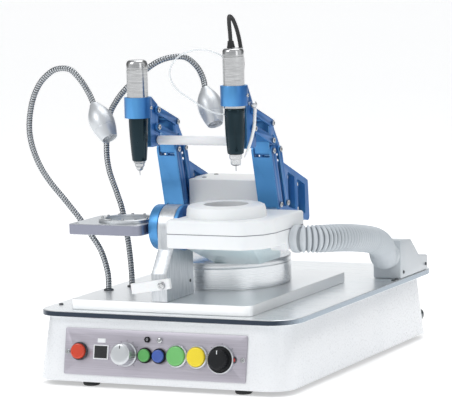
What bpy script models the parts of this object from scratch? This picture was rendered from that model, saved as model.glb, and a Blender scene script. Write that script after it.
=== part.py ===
"""Manual dental copy-milling machine: base cabinet, model and block table, pantograph, lamps.

Frame: +X to the operator's right, +Y to the back, +Z up, origin under the middle of the bounding
box at the feet. Lengths below are in millimetres and are scaled once, by MM.
"""
import math

import bmesh
import bpy
from mathutils import Matrix, Vector

MM = 0.001
PLAN = (18.4, 10.7)          # moves the plan so that the origin is under the bounding box's middle
GAP = 0.3                   # clearance between pieces that rest on each other

# base cabinet
FOOT_H = 8.0
DECK = 112.0                # top of the brushed top plate
DECK_T = 8.5
DECK_HALF_X = 210.0
DECK_HALF_Y = 300.0
CABINET_FRONT_TOP = -287.0
CABINET_FRONT_FOOT = -305.0
CABINET_REAR = 274.0
CABINET_HALF_X = 199.0
CABINET_X = -5.0            # the cabinet stands a little to the left under the top plate
FLARE = 207.5 / 199.0       # the walls splay towards the table
LEAN = math.atan2(CABINET_FRONT_TOP - CABINET_FRONT_FOOT, DECK - DECK_T - FOOT_H)
DAIS = 128.2                # top of the raised plate
FOOT_AT = (125.0, -284.0, 240.0)   # feet: distance either side, front row, rear row

# pedestal
DRUM_AT = (-8.0, -54.0)
DRUM_R = 104.0
DRUM_TOP = 171.0

# model and block table
TILT_Y = -218.0
TILT_Z = 233.0
HEAD_R = 34.0
MODEL_X = -90.0
BLOCK_X = 69.0
TABLE_Z = (224.5, 240.5)

# pantograph: four pivots of the legs, four of the forearm, as (y, z)
ARM_X = {"left": -73.5, "right": 85.5}
LEG_FRONT_FOOT = (-82.0, 254.0)
LEG_REAR_FOOT = (-56.0, 254.0)
LEG_FRONT_HEAD = (-104.0, 338.0)
LEG_REAR_HEAD = (-78.0, 338.0)
ELBOW_LOW = (-104.0, 354.0)
ELBOW_HIGH = (-104.0, 380.0)
WRIST_LOW = (-170.0, 378.0)
WRIST_HIGH = (-170.0, 404.0)
SPINDLE_Y = -205.0
ARM_HALF = 16.5             # half width of a link channel
CORE_HALF = 12.5            # half width of what runs between its flanges
PIN_R = 3.0
PIN_HOLE_R = 3.25
CLAMP_Z = {"left": (395.0, 426.0), "right": (415.0, 445.0)}

for old in list(bpy.data.objects):
    bpy.data.objects.remove(old, do_unlink=True)

machine = bpy.data.collections.new("dental_copy_mill")
cutters = bpy.data.collections.new("cutters")
bpy.context.scene.collection.children.link(machine)
bpy.context.scene.collection.children.link(cutters)

frame = bpy.data.objects.new("machine_frame", None)
frame.location = (PLAN[0] * MM, PLAN[1] * MM, 0.0)
machine.objects.link(frame)


# ---------------------------------------------------------------- helpers
def material(name, rgb, roughness, metallic=0.0, alpha=1.0):
    made = bpy.data.materials.new(name)
    made.use_nodes = True
    shader = made.node_tree.nodes["Principled BSDF"]
    shader.inputs["Base Color"].default_value = (rgb[0], rgb[1], rgb[2], 1.0)
    shader.inputs["Roughness"].default_value = roughness
    shader.inputs["Metallic"].default_value = metallic
    shader.inputs["Alpha"].default_value = alpha
    made.diffuse_color = (rgb[0], rgb[1], rgb[2], alpha)
    return made


def hang(ob, parent=None):
    """Parent without moving: the child's own transform is in the parent's frame."""
    ob.parent = parent or frame
    return ob


def add_mesh(name, bm, mat, pivot=(0, 0, 0), cutter=False, parent=None, smooth=True):
    """Turn a bmesh in millimetres into an object whose origin is the pivot."""
    bmesh.ops.translate(bm, verts=bm.verts, vec=-Vector(pivot))
    bmesh.ops.scale(bm, verts=bm.verts, vec=(MM, MM, MM))
    bmesh.ops.recalc_face_normals(bm, faces=bm.faces)
    mesh = bpy.data.meshes.new(name)
    bm.to_mesh(mesh)
    bm.free()
    if smooth:
        mesh.shade_smooth()
        mesh.set_sharp_from_angle(angle=math.radians(35))
    ob = bpy.data.objects.new(name, mesh)
    ob.location = Vector(pivot) * MM
    (cutters if cutter else machine).objects.link(ob)
    if cutter:
        ob.hide_render = True
        ob.display_type = "WIRE"
    if mat:
        mesh.materials.append(mat)
    return hang(ob, parent)


def bevel(ob, width, segments=2, angle=35.0):
    mod = ob.modifiers.new("edge", "BEVEL")
    mod.width = width * MM
    mod.segments = segments
    mod.limit_method = "ANGLE"
    mod.angle_limit = math.radians(angle)
    mod.use_clamp_overlap = True
    return ob


def round_rim(ob, z, width, segments=3):
    """Round the edges around the flat face that lies at height z."""
    bm = bmesh.new()
    bm.from_mesh(ob.data)
    bm.normal_update()
    rim = [e for e in bm.edges if all(abs(v.co.z - z * MM) < 0.000001 for v in e.verts)
           and min(abs(f.normal.z) for f in e.link_faces) < 0.5]
    bmesh.ops.bevel(bm, geom=rim, offset=width * MM, segments=segments, profile=0.5,
                    affect="EDGES", clamp_overlap=True)
    bm.to_mesh(ob.data)
    bm.free()


def combine(ob, other, operation="DIFFERENCE"):
    mod = ob.modifiers.new(operation.lower(), "BOOLEAN")
    mod.operation = operation
    mod.solver = "EXACT"
    mod.object = other
    return ob


def box(name, low, high, mat=None, pivot=None, cutter=False, parent=None, edge=0.0, turn=None):
    bm = bmesh.new()
    bmesh.ops.create_cube(bm, size=1.0)
    size = [h - l for l, h in zip(low, high)]
    middle = [(h + l) / 2 for l, h in zip(low, high)]
    bmesh.ops.scale(bm, verts=bm.verts, vec=size)
    if turn:
        bmesh.ops.rotate(bm, verts=bm.verts, cent=(0, 0, 0), matrix=turn)
    bmesh.ops.translate(bm, verts=bm.verts, vec=middle)
    ob = add_mesh(name, bm, mat, pivot or middle, cutter, parent, smooth=False)
    if edge:
        bevel(ob, edge)
    return ob


def rod(name, start, end, radius, mat=None, pivot=None, cutter=False, parent=None, sides=24,
        end_radius=None, edge=0.0):
    """A cylinder or cone from start to end."""
    start = Vector(start)
    end = Vector(end)
    bm = bmesh.new()
    bmesh.ops.create_cone(bm, cap_ends=True, segments=sides, radius1=radius,
                          radius2=radius if end_radius is None else end_radius,
                          depth=(end - start).length)
    spin = Vector((0, 0, 1)).rotation_difference(end - start).to_matrix()
    bmesh.ops.rotate(bm, verts=bm.verts, cent=(0, 0, 0), matrix=spin)
    bmesh.ops.translate(bm, verts=bm.verts, vec=(start + end) / 2)
    ob = add_mesh(name, bm, mat, pivot or start, cutter, parent)
    if edge:
        bevel(ob, edge)
    return ob


def turned(name, profile, mat, pivot=(0, 0, 0), axis="Z", sides=32, cutter=False, parent=None):
    """A turned piece: profile points (radius, height) run down the outside, top to bottom.

    The profile closes on the axis, or back up a bore when its first and last points are equal.
    """
    mesh = bpy.data.meshes.new(name)
    closed = profile[0] == profile[-1]
    points = profile[:-1] if closed else profile
    edges = [(i, i + 1) for i in range(len(points) - 1)]
    if closed:
        edges.append((len(points) - 1, 0))
    mesh.from_pydata([(r * MM, 0.0, h * MM) for r, h in points], edges, [])
    mesh.update()
    ob = bpy.data.objects.new(name, mesh)
    ob.location = Vector(pivot) * MM
    if axis == "X":
        ob.rotation_euler = (0.0, math.radians(90), 0.0)
    (cutters if cutter else machine).objects.link(ob)
    if cutter:
        ob.hide_render = True
        ob.display_type = "WIRE"
    mod = ob.modifiers.new("turn", "SCREW")
    mod.axis = "Z"
    mod.angle = math.radians(360)
    mod.steps = sides
    mod.render_steps = sides
    mod.use_merge_vertices = True
    mod.merge_threshold = 0.00001
    mod.use_smooth_shade = True
    if mat:
        mesh.materials.append(mat)
    return hang(ob, parent)


def rounded(corners, steps=5):
    """Outline points of a polygon whose corners (x, y, radius) are rounded."""
    points = []
    count = len(corners)
    for i, (x, y, radius) in enumerate(corners):
        here = Vector((x, y))
        if radius <= 0:
            points.append(here)
            continue
        back = (Vector(corners[i - 1][:2]) - here).normalized()
        ahead = (Vector(corners[(i + 1) % count][:2]) - here).normalized()
        half = back.angle(ahead) / 2
        reach = radius / math.tan(half)
        centre = here + (back + ahead).normalized() * (radius / math.sin(half))
        first = here + back * reach - centre
        last = here + ahead * reach - centre
        sweep = first.angle_signed(last)
        for k in range(steps + 1):
            points.append(centre + Matrix.Rotation(-sweep * k / steps, 2) @ first)
    return points


def ring_points(centre, radius, sides=32, start=0.0):
    return [Vector((centre[0] + radius * math.cos(start + 2 * math.pi * k / sides),
                    centre[1] + radius * math.sin(start + 2 * math.pi * k / sides)))
            for k in range(sides)]


FACING = {"X": Matrix(((0, 0, 1), (1, 0, 0), (0, 1, 0))),
          "Y": Matrix(((1, 0, 0), (0, 0, -1), (0, 1, 0))),
          "Z": Matrix.Identity(3)}


def plate(name, outlines, low, high, axis="Z", mat=None, pivot=(0, 0, 0), cutter=False,
          parent=None, edge=0.0, segments=2):
    """A flat piece: the first outline, less the others, from low to high along an axis.

    The outlines are (y, z) pairs for axis X, (x, z) for Y and (x, y) for Z.
    """
    curve = bpy.data.curves.new(name, "CURVE")
    curve.dimensions = "2D"
    curve.fill_mode = "BOTH"
    curve.extrude = (high - low) / 2 * MM
    for outline in outlines:
        spline = curve.splines.new("POLY")
        spline.points.add(len(outline) - 1)
        for spot, point in zip(spline.points, outline):
            spot.co = (point[0] * MM, point[1] * MM, 0.0, 1.0)
        spline.use_cyclic_u = True
    flat = bpy.data.objects.new(name + "_outline", curve)
    machine.objects.link(flat)
    bpy.context.view_layer.update()
    seen = flat.evaluated_get(bpy.context.evaluated_depsgraph_get())
    mesh = bpy.data.meshes.new_from_object(seen)
    bpy.data.objects.remove(flat, do_unlink=True)
    bpy.data.curves.remove(curve)
    bm = bmesh.new()
    bm.from_mesh(mesh)
    bpy.data.meshes.remove(mesh)
    bmesh.ops.remove_doubles(bm, verts=bm.verts, dist=0.000002)
    bmesh.ops.scale(bm, verts=bm.verts, vec=(1 / MM, 1 / MM, 1 / MM))
    middle = (low + high) / 2 * (-1 if axis == "Y" else 1)
    bmesh.ops.translate(bm, verts=bm.verts, vec=(0, 0, middle))
    bmesh.ops.rotate(bm, verts=bm.verts, cent=(0, 0, 0), matrix=FACING[axis])
    bmesh.ops.dissolve_limit(bm, angle_limit=math.radians(0.5), verts=bm.verts, edges=bm.edges)
    ob = add_mesh(name, bm, mat, pivot, cutter, parent)
    if edge:
        bevel(ob, edge, segments)
    return ob


def smooth_path(knots, spacing):
    """Points about one spacing apart along a Catmull-Rom curve through the knots."""
    knots = [Vector(k) for k in knots]
    ends = [knots[0] * 2 - knots[1]] + knots + [knots[-1] * 2 - knots[-2]]
    fine = []
    for a, b, c, d in zip(ends, ends[1:], ends[2:], ends[3:]):
        for k in range(20):
            t = k / 20
            fine.append(0.5 * (2 * b + (c - a) * t + (2 * a - 5 * b + 4 * c - d) * t * t
                               + (3 * b - a - 3 * c + d) * t ** 3))
    fine.append(knots[-1])
    total = sum((q - p).length for p, q in zip(fine, fine[1:]))
    count = max(2, round(total / spacing))
    step = total / count
    points = [fine[0]]
    run = 0.0
    for p, q in zip(fine, fine[1:]):
        length = (q - p).length
        while len(points) < count and run + length >= step * len(points):
            points.append(p.lerp(q, (step * len(points) - run) / length))
        run += length
    points.append(fine[-1])
    return points


def tube(name, knots, radius, mat, spacing, resolution=2, parent=None, pivot=(0, 0, 0)):
    curve = bpy.data.curves.new(name, "CURVE")
    curve.dimensions = "3D"
    curve.bevel_depth = radius * MM
    curve.bevel_resolution = resolution
    curve.use_fill_caps = True
    points = smooth_path(knots, spacing)
    spline = curve.splines.new("POLY")
    spline.points.add(len(points) - 1)
    for spot, point in zip(spline.points, points):
        place = (point - Vector(pivot)) * MM
        spot.co = (place.x, place.y, place.z, 1.0)
    ob = bpy.data.objects.new(name, curve)
    ob.location = Vector(pivot) * MM
    machine.objects.link(ob)
    curve.materials.append(mat)
    return hang(ob, parent)


# ---------------------------------------------------------------- materials
white_paint = material("white_paint", (0.86, 0.87, 0.88), 0.35)
white_plastic = material("white_plastic", (0.88, 0.89, 0.90), 0.4)
brushed = material("brushed_aluminium", (0.62, 0.66, 0.69), 0.35, 1.0)
machined = material("machined_aluminium", (0.66, 0.70, 0.74), 0.4, 1.0)
blue = material("blue_anodised", (0.10, 0.30, 0.62), 0.35, 0.6)
chrome = material("chrome", (0.78, 0.80, 0.82), 0.15, 1.0)
dark_steel = material("dark_steel", (0.20, 0.22, 0.24), 0.4, 1.0)
black_rubber = material("black_rubber", (0.02, 0.02, 0.022), 0.7)
black_plastic = material("black_plastic", (0.02, 0.04, 0.045), 0.3)
silver = material("silver_metal", (0.70, 0.71, 0.72), 0.35, 1.0)
panel_grey = material("panel_grey", (0.60, 0.60, 0.68), 0.4, 0.5)
hose_grey = material("hose_grey", (0.78, 0.80, 0.82), 0.45)
box_grey = material("box_grey", (0.72, 0.75, 0.78), 0.4)
red = material("red_plastic", (0.85, 0.09, 0.04), 0.35)
green = material("green_plastic", (0.05, 0.45, 0.18), 0.35)
yellow = material("yellow_plastic", (0.90, 0.78, 0.05), 0.35)
blue_cap = material("blue_plastic", (0.04, 0.18, 0.55), 0.35)
clear = material("clear_tube", (0.85, 0.90, 0.92), 0.1, 0.0, 0.5)


# ---------------------------------------------------------------- base cabinet
def rectangle(half_x, front, rear, corner, steps=5, middle=0.0, left_corner=None):
    left = left_corner or corner
    return rounded([(middle - half_x, front, left), (middle + half_x, front, corner),
                    (middle + half_x, rear, corner), (middle - half_x, rear, left)], steps)


def splay(ob, top):
    """Widen the piece towards the table, in proportion to the depth below the top plate."""
    for vert in ob.data.vertices:
        depth = (top - vert.co.z / MM) / (top - FOOT_H)
        wide = 1 + (FLARE - 1) * depth
        vert.co.x = (vert.co.x - CABINET_X * MM) * wide + CABINET_X * MM
        middle = (CABINET_FRONT_TOP + CABINET_REAR) / 2 * MM
        reach = (CABINET_FRONT_FOOT - CABINET_FRONT_TOP) * depth * MM
        if vert.co.y < middle:
            vert.co.y += reach
        else:
            vert.co.y += 6.0 * depth * MM


cabinet_top = DECK - DECK_T - GAP
shell = plate("base_shell",
              [rectangle(CABINET_HALF_X, CABINET_FRONT_TOP, CABINET_REAR, 34, 6, CABINET_X),
               rectangle(CABINET_HALF_X - 3, CABINET_FRONT_TOP + 3, CABINET_REAR - 3, 31, 6,
                         CABINET_X)],
              FOOT_H, cabinet_top, "Z", white_paint)
splay(shell, cabinet_top)

plate("bottom_plate", [rectangle(196, -299, 268, 30, 4, CABINET_X)], FOOT_H, FOOT_H + 3, "Z", dark_steel)

plate("top_plate", [rectangle(DECK_HALF_X, -DECK_HALF_Y, DECK_HALF_Y, 46, 8, left_corner=36)],
      DECK - DECK_T, DECK, "Z", brushed, edge=0.8, segments=1)

plate("raised_plate",
      [rounded([(-159, -278, 4), (136, -278, 12), (136, 92, 12), (-159, 92, 4)], 4)],
      DECK + GAP, DAIS, "Z", brushed, edge=0.6, segments=1)

for foot_name, x, y in (("foot_front_left", -FOOT_AT[0], FOOT_AT[1]),
                        ("foot_front_right", FOOT_AT[0], FOOT_AT[1]),
                        ("foot_rear_left", -FOOT_AT[0], FOOT_AT[2]),
                        ("foot_rear_right", FOOT_AT[0], FOOT_AT[2])):
    turned(foot_name, [(0, FOOT_H - GAP), (13, FOOT_H - GAP), (13, 2), (11.5, 0), (0, 0)],
           black_rubber, (x, y, 0), sides=20)


def rear_face(z):
    return CABINET_REAR + 6.0 * (cabinet_top - z) / (cabinet_top - FOOT_H)


bumper = turned("rear_bumper", [(0, 24), (5, 23.3), (10, 19), (12, 12), (12.5, 0), (0, 0)],
                black_rubber, (176, rear_face(31) + 0.9, 31), sides=20)
bumper.rotation_euler = (math.radians(-90), 0.0, 0.0)

inlet = box("power_inlet", (-120, 266, 26), (-70, 284, 56), black_plastic, edge=0.8)
inlet_mouth = box("inlet_mouth", (-110, 272, 31), (-80, 290, 51), cutter=True)
combine(inlet, inlet_mouth)
inlet_hole = box("inlet_hole", (-120.5, 255, 25.5), (-69.5, 290, 56.5), cutter=True)
combine(shell, inlet_hole)

# control panel: a plate on the leaning front wall, with a window through the wall behind it
PANEL_X = -12.0
PANEL_Z = 52.5
panel_y = CABINET_FRONT_FOOT + (PANEL_Z - FOOT_H) * math.tan(LEAN)
panel_frame = bpy.data.objects.new("panel_frame", None)
machine.objects.link(panel_frame)
hang(panel_frame)
panel_frame.location = Vector((PANEL_X, panel_y, PANEL_Z)) * MM
panel_frame.rotation_euler = (math.radians(90) - LEAN, 0.0, 0.0)

window = box("panel_window", (-135, -22, -14), (135, 22, 6), cutter=True, parent=panel_frame)
combine(shell, window)

PANEL_FACE = 2.0
panel = plate("control_panel", [rounded([(-149, -34.5, 2), (149, -34.5, 2), (149, 34.5, 2),
                                         (-149, 34.5, 2)], 3)],
              GAP, PANEL_FACE, "Z", panel_grey, parent=panel_frame)


def panel_hole(name, x, v, radius):
    combine(panel, rod(name + "_hole", (x, v, -3), (x, v, 6), radius, cutter=True,
                       parent=panel_frame, sides=12))


def push_button(name, x, v, radius, height, mat, travel=2.5):
    """A cap on a stem that passes through the panel; the cap stands clear by its travel."""
    stem = radius * 0.6
    under = PANEL_FACE + travel + 0.6
    turned(name, [(0, under + height), (radius - 2, under + height),
                  (radius - 0.6, under + height - 0.6), (radius, under + height - 2),
                  (radius, under), (stem, under), (stem, -8), (0, -8)],
           mat, (x, v, 0), sides=16, parent=panel_frame)
    panel_hole(name, x, v, stem + 0.5)


def knob(name, x, v, radius, height, mat, skirt):
    turned(name, [(0, height), (radius - 3, height), (radius - 1, height - 1),
                  (radius - 0.4, height - 3), (radius, 7), (skirt, 6), (skirt, PANEL_FACE + 0.6),
                  (4, PANEL_FACE + 0.6), (4, -10), (0, -10)],
           mat, (x, v, 0), sides=18, parent=panel_frame)
    panel_hole(name, x, v, 4.5)


push_button("stop_button", -136 - PANEL_X, 0, 11.5, 6, red)
push_button("small_green_button", -27 - PANEL_X, -1.5, 9.5, 4.5, green)
push_button("small_blue_button", -4 - PANEL_X, -1.5, 9.5, 4.5, blue_cap)
push_button("green_button", 25 - PANEL_X, 0, 14.5, 5, green)
push_button("yellow_button", 58 - PANEL_X, 0, 14.5, 5, yellow)
knob("speed_knob", -58 - PANEL_X, -1.5, 16.5, 26, silver, 18)
knob("mode_knob", 97 - PANEL_X, -2, 15, 20, black_plastic, 19)

# ---------------------------------------------------------------- pedestal
turned("pedestal_drum",
       [(0, DRUM_TOP), (DRUM_R, DRUM_TOP), (DRUM_R, 162.6), (DRUM_R - 1, 162.2),
        (DRUM_R - 1, 161.6), (DRUM_R - 0.4, 161.2), (DRUM_R - 0.4, DAIS + 2.4),
        (DRUM_R - 2.5, DAIS + 2.2), (DRUM_R - 2.5, DAIS + GAP), (0, DAIS + GAP)],
       brushed, (DRUM_AT[0], DRUM_AT[1], 0), sides=36)

TRAY_FLOOR = 209.5          # underside of the suction tray


def leaning(name, low, low_size, low_z, high, high_size, high_z, mat=None, cutter=False):
    """A four-sided block whose rectangular ends stand at different places in the plan."""
    bm = bmesh.new()
    bmesh.ops.create_cube(bm, size=1.0)
    for vert in bm.verts:
        middle, size, z = (high, high_size, high_z) if vert.co.z > 0 else (low, low_size, low_z)
        vert.co = (middle[0] + vert.co.x * size[0], middle[1] + vert.co.y * size[1], z)
    return add_mesh(name, bm, mat, (low[0], low[1], low_z), cutter, smooth=False)


funnel = leaning("suction_funnel", (58, -112), (76, 76), DRUM_TOP + GAP,
                 (70, -192), (116, 112), TRAY_FLOOR - GAP, white_paint)
bevel(funnel, 1.5, 2)
combine(funnel, leaning("funnel_bore", (60, -124), (71, 62), DRUM_TOP + 7,
                        (71, -198), (108, 95), TRAY_FLOOR + 3.5, cutter=True))

plate("arm_column",
      [[Vector(p) for p in ((-70, DRUM_TOP + GAP), (28, DRUM_TOP + GAP), (28, 182), (14, 194),
                            (14, 243.6), (-10, 243.6), (-10, 236), (-26, 236), (-26, 243.6),
                            (-50, 243.6), (-50, 194), (-70, 182))]],
      -28, 40, "X", machined, edge=0.8, segments=1)

# ---------------------------------------------------------------- upright and tilt table
head = [Vector((TILT_Y, TILT_Z)) + Vector((math.cos(a), math.sin(a))) * HEAD_R
        for a in (math.radians(180 - 12 * k) for k in range(16))]
upright_front = TILT_Y - HEAD_R
upright_outline = ([Vector((-277, DAIS + GAP)), Vector((-277, 170)), Vector((upright_front, 203))]
                   + head + [Vector((TILT_Y + HEAD_R, DAIS + GAP))])
upright = plate("upright", [upright_outline, ring_points((TILT_Y, TILT_Z), 10.5, 24)],
                -24, 1, "X", machined, edge=0.6, segments=1)

turned("tilt_hub",
       [(0, 26), (11, 26), (11, 8), (HEAD_R - 1.5, 8), (HEAD_R, 6.5), (HEAD_R, 1.4), (10, 1.4),
        (10, -24.4), (HEAD_R, -24.4), (HEAD_R, -38.5), (HEAD_R - 1.5, -40), (13, -40), (13, -43.7),
        (0, -43.7)],
       blue, (0, TILT_Y, TILT_Z), axis="X", sides=24)

pivot = (0, TILT_Y, TILT_Z)
plate("model_plate",
      [rounded([(-163, -272, 5), (-44, -272, 14), (-44, -164, 14), (-163, -164, 5)], 5),
       ring_points((MODEL_X, TILT_Y), 41.7, 32)],
      TABLE_Z[0], TABLE_Z[1], "Z", machined, pivot=pivot, edge=0.8, segments=1)


def table_ring(name, x, flange, sleeve, bore, mat):
    top = TABLE_Z[1] + 5.2
    turned(name, [(flange - 0.8, top), (flange, top - 0.8), (flange, TABLE_Z[1] + GAP),
                  (sleeve, TABLE_Z[1] + GAP), (sleeve, TABLE_Z[0] + 1), (bore, TABLE_Z[0] + 1),
                  (bore, top), (flange - 0.8, top)],
           mat, (x, TILT_Y, 0), sides=24)


table_ring("model_ring", MODEL_X, 43.5, 41, 33.5, machined)

plate("block_frame",
      [rounded([(26.3, -260, 26), (113, -260, 26), (113, -176, 26), (26.3, -176, 26)], 6),
       ring_points((BLOCK_X, TILT_Y), 32.7, 28)],
      TABLE_Z[0], TABLE_Z[1], "Z", machined, pivot=pivot)
table_ring("block_ring", BLOCK_X, 35, 32, 25, machined)

lever_turn = Matrix.Rotation(math.radians(-9.3), 3, "Y")
lever = box("lock_lever", (-53, -288, 145), (11, -279.5, 161), white_plastic, (-2, -279.5, 155),
            edge=1.5, turn=lever_turn)
lever_screw = rod("lever_screw", (-2, -290.5, 155), (-2, -270, 155), 5.5, cutter=True, sides=20)
combine(upright, lever_screw, "UNION")
lever_bore = rod("lever_bore", (-2, -300, 155), (-2, -270, 155), 5.9, cutter=True, sides=20)
combine(lever, lever_bore)

# ---------------------------------------------------------------- suction housing
housing = [(4, -283, 6), (126, -283, 20), (152, -257, 14), (159, -232, 14), (159, -124, 6),
           (11, -124, 10), (11, -256, 0), (4, -256, 0)]
inside = [(7.5, -279.5, 4), (124.5, -279.5, 18), (149, -255, 12), (155.5, -231, 12),
          (155.5, -127.5, 3), (14.5, -127.5, 7), (14.5, -259.5, 0), (7.5, -259.5, 0)]
SEAM = 231.0
tray = plate("suction_tray", [rounded(housing, 3)], TRAY_FLOOR, SEAM - GAP / 2, "Z",
             white_plastic)
round_rim(tray, TRAY_FLOOR, 4.0)
duct = box("duct", (133, -196, 199), (159, -131, 224), cutter=True, edge=3.0)
combine(tray, duct, "UNION")
tray_inside = plate("tray_inside", [rounded(inside, 3)], TRAY_FLOOR + 3.5, 240, "Z", cutter=True)
combine(tray, tray_inside)
duct_inside = box("duct_inside", (136.5, -192, 202), (155.5, -135, 226), cutter=True)
combine(tray, duct_inside)
duct_mouth = rod("duct_mouth", (148, -166, 214.5), (168, -166, 214.5), 11.5, cutter=True, sides=24)
combine(tray, duct_mouth)
drain = rod("tray_drain", (70, -182, 205), (70, -182, 216), 20, cutter=True, sides=24)
combine(tray, drain)

COVER_TOP = 252.0
cover = plate("suction_cover", [rounded(housing, 3)], SEAM + GAP / 2, COVER_TOP, "Z",
              white_plastic)
round_rim(cover, COVER_TOP, 5.0)
COLLAR_X = 74.0
collar = turned("collar", [(0, 270), (53, 270), (57, 268.2), (58.6, 264), (60, 250), (0, 250)],
                None, (COLLAR_X, TILT_Y, 0), sides=32, cutter=True)
combine(cover, collar, "UNION")
cover_inside = plate("cover_inside", [rounded(inside, 3)], 220, COVER_TOP - 3.5, "Z", cutter=True)
combine(cover, cover_inside)
collar_inside = turned("collar_inside", [(0, 266.5), (52, 266.5), (55.4, 262), (56.5, 240), (0, 240)],
                       None, (COLLAR_X, TILT_Y, 0), sides=32, cutter=True)
combine(cover, collar_inside)
mouth = turned("mouth", [(0, 280), (34, 280), (34, 255), (0, 255)], None, (COLLAR_X, TILT_Y, 0),
               sides=32, cutter=True)
combine(cover, mouth)
shaft_hole = rod("shaft_hole", (2, TILT_Y, TILT_Z), (20, TILT_Y, TILT_Z), 12.5, cutter=True, sides=24)
combine(tray, shaft_hole)
combine(cover, shaft_hole)

HOSE_R = 21.0
hose_knots = [(159.8, -166, 214), (176, -165.8, 214), (196, -149, 213), (211, -112, 210),
              (219, -60, 203), (221, -2, 192), (212, 50, 176), (198, 90, 160), (188.6, 118, 151),
              (188, 138.4, 150)]
tube("suction_hose", hose_knots, HOSE_R, hose_grey, 16.0, 2)

plate("hose_outlet_box",
      [[Vector(p) for p in ((139, DECK + GAP), (139, 174), (186, 170), (222, 140), (258, 136),
                            (258, DECK + GAP))]],
      162, 209, "X", box_grey, edge=2.0, segments=2)

# ---------------------------------------------------------------- gooseneck lamps
NECK_R = 5.0
left_neck = [(-142, -186, DAIS + GAP), (-143, -186, 156), (-153, -186, 188), (-169, -186, 212),
             (-188, -186, 237), (-214, -185, 266), (-239, -184, 293), (-257, -183, 319),
             (-270, -181, 350), (-274, -179, 380), (-268, -177, 416), (-255, -175, 443),
             (-235, -174, 461), (-218, -173, 466), (-202, -172, 463), (-187, -171, 448),
             (-176, -166.5, 428), (-167, -169, 412)]
tube("gooseneck_left", left_neck, NECK_R, chrome, 17.0, 2)
right_neck = [(-124, -142, DAIS + GAP), (-125, -142, 160), (-129, -142, 200), (-137, -142, 246),
              (-147, -139, 272), (-161, -136, 308), (-165, -134, 343), (-159, -134, 388),
              (-145, -134, 414), (-124, -133, 437), (-93, -130, 463), (-73, -126, 475),
              (-54, -116, 480), (-39, -105, 478), (-26, -96, 464), (-19.5, -89, 446),
              (-14, -94, 432)]
tube("gooseneck_right", right_neck, NECK_R, chrome, 17.0, 2)


def lamp(name, top, tip):
    """An egg-shaped lamp head from its neck joint to its lens."""
    top = Vector(top)
    tip = Vector(tip)
    length = (tip - top).length
    profile = [(0, 0), (7, 0), (9, -3)]
    for k in range(1, 8):
        t = k / 7
        swell = math.sin(math.radians(18 + 122 * t)) ** 0.8
        profile.append((19.2 * swell, -3 - (length - 5) * t))
    profile += [(11.5, -length), (0, -length)]
    ob = turned(name, profile, silver, top, sides=16)
    ob.rotation_euler = Vector((0, 0, -1)).rotation_difference(tip - top).to_euler()
    return ob


lamp("lamp_head_left", Vector((-167, -169, 412)) + Vector((0.35, 0.0, -1.0)) * GAP * 4,
     (-131.6, -187.3, 360.6))
lamp("lamp_head_right", Vector((-14, -94, 432)) + Vector((0.3, -0.2, -1.0)) * GAP * 4,
     (12.8, -117.2, 377.5))

# ---------------------------------------------------------------- carriage
CARRIAGE_PIVOT = (6, -30, 250)
plate("carriage_beam",
      [[Vector(p) for p in ((-55.5, -74), (67.5, -74), (67.5, -44), (72.7, -44), (72.7, 12),
                            (-60.7, 12), (-60.7, -44), (-55.5, -44))]],
      244, 289, "Z", white_plastic, pivot=CARRIAGE_PIVOT, edge=2.0, segments=2)


def frame_top(y):
    return 320 - (y + 68) * 41 / 101


def frame_bottom(y):
    return 249.4 - (y + 86.6) * 35.4 / 124.6


def side_frame(side):
    x = ARM_X[side]
    outline = rounded([(-86.6, 249.4, 4.2), (-86.6, 259, 4), (-76, 270, 4), (-69, 320, 4),
                       (34, 279, 4), (38, 214, 6)], 3)
    slots = []
    for front, rear in ((-44, -18), (-8, 22)):
        slots.append(rounded([(front, frame_bottom(front) + 9, 2), (front, frame_top(front) - 10, 2),
                              (rear, frame_top(rear) - 10, 2), (rear, frame_bottom(rear) + 9, 2)], 2))
    ob = plate("side_frame_" + side, [outline] + slots, x - CORE_HALF, x + CORE_HALF, "X", blue,
               pivot=CARRIAGE_PIVOT)
    for number, y in enumerate((-31, 7)):
        post = rod("spring_post_%s_%d" % (side, number), (x, y, frame_bottom(y) + 4),
                   (x, y, frame_top(y) - 5), 7, cutter=True, sides=20)
        combine(ob, post, "UNION")
    for number, (y, z) in enumerate((LEG_FRONT_FOOT, LEG_REAR_FOOT)):
        pin = rod("foot_pin_%s_%d" % (side, number), (x - ARM_HALF - 0.6, y, z),
                  (x + ARM_HALF + 0.6, y, z), PIN_R, cutter=True, sides=12)
        combine(ob, pin, "UNION")
    return ob


for side in ARM_X:
    side_frame(side)


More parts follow.
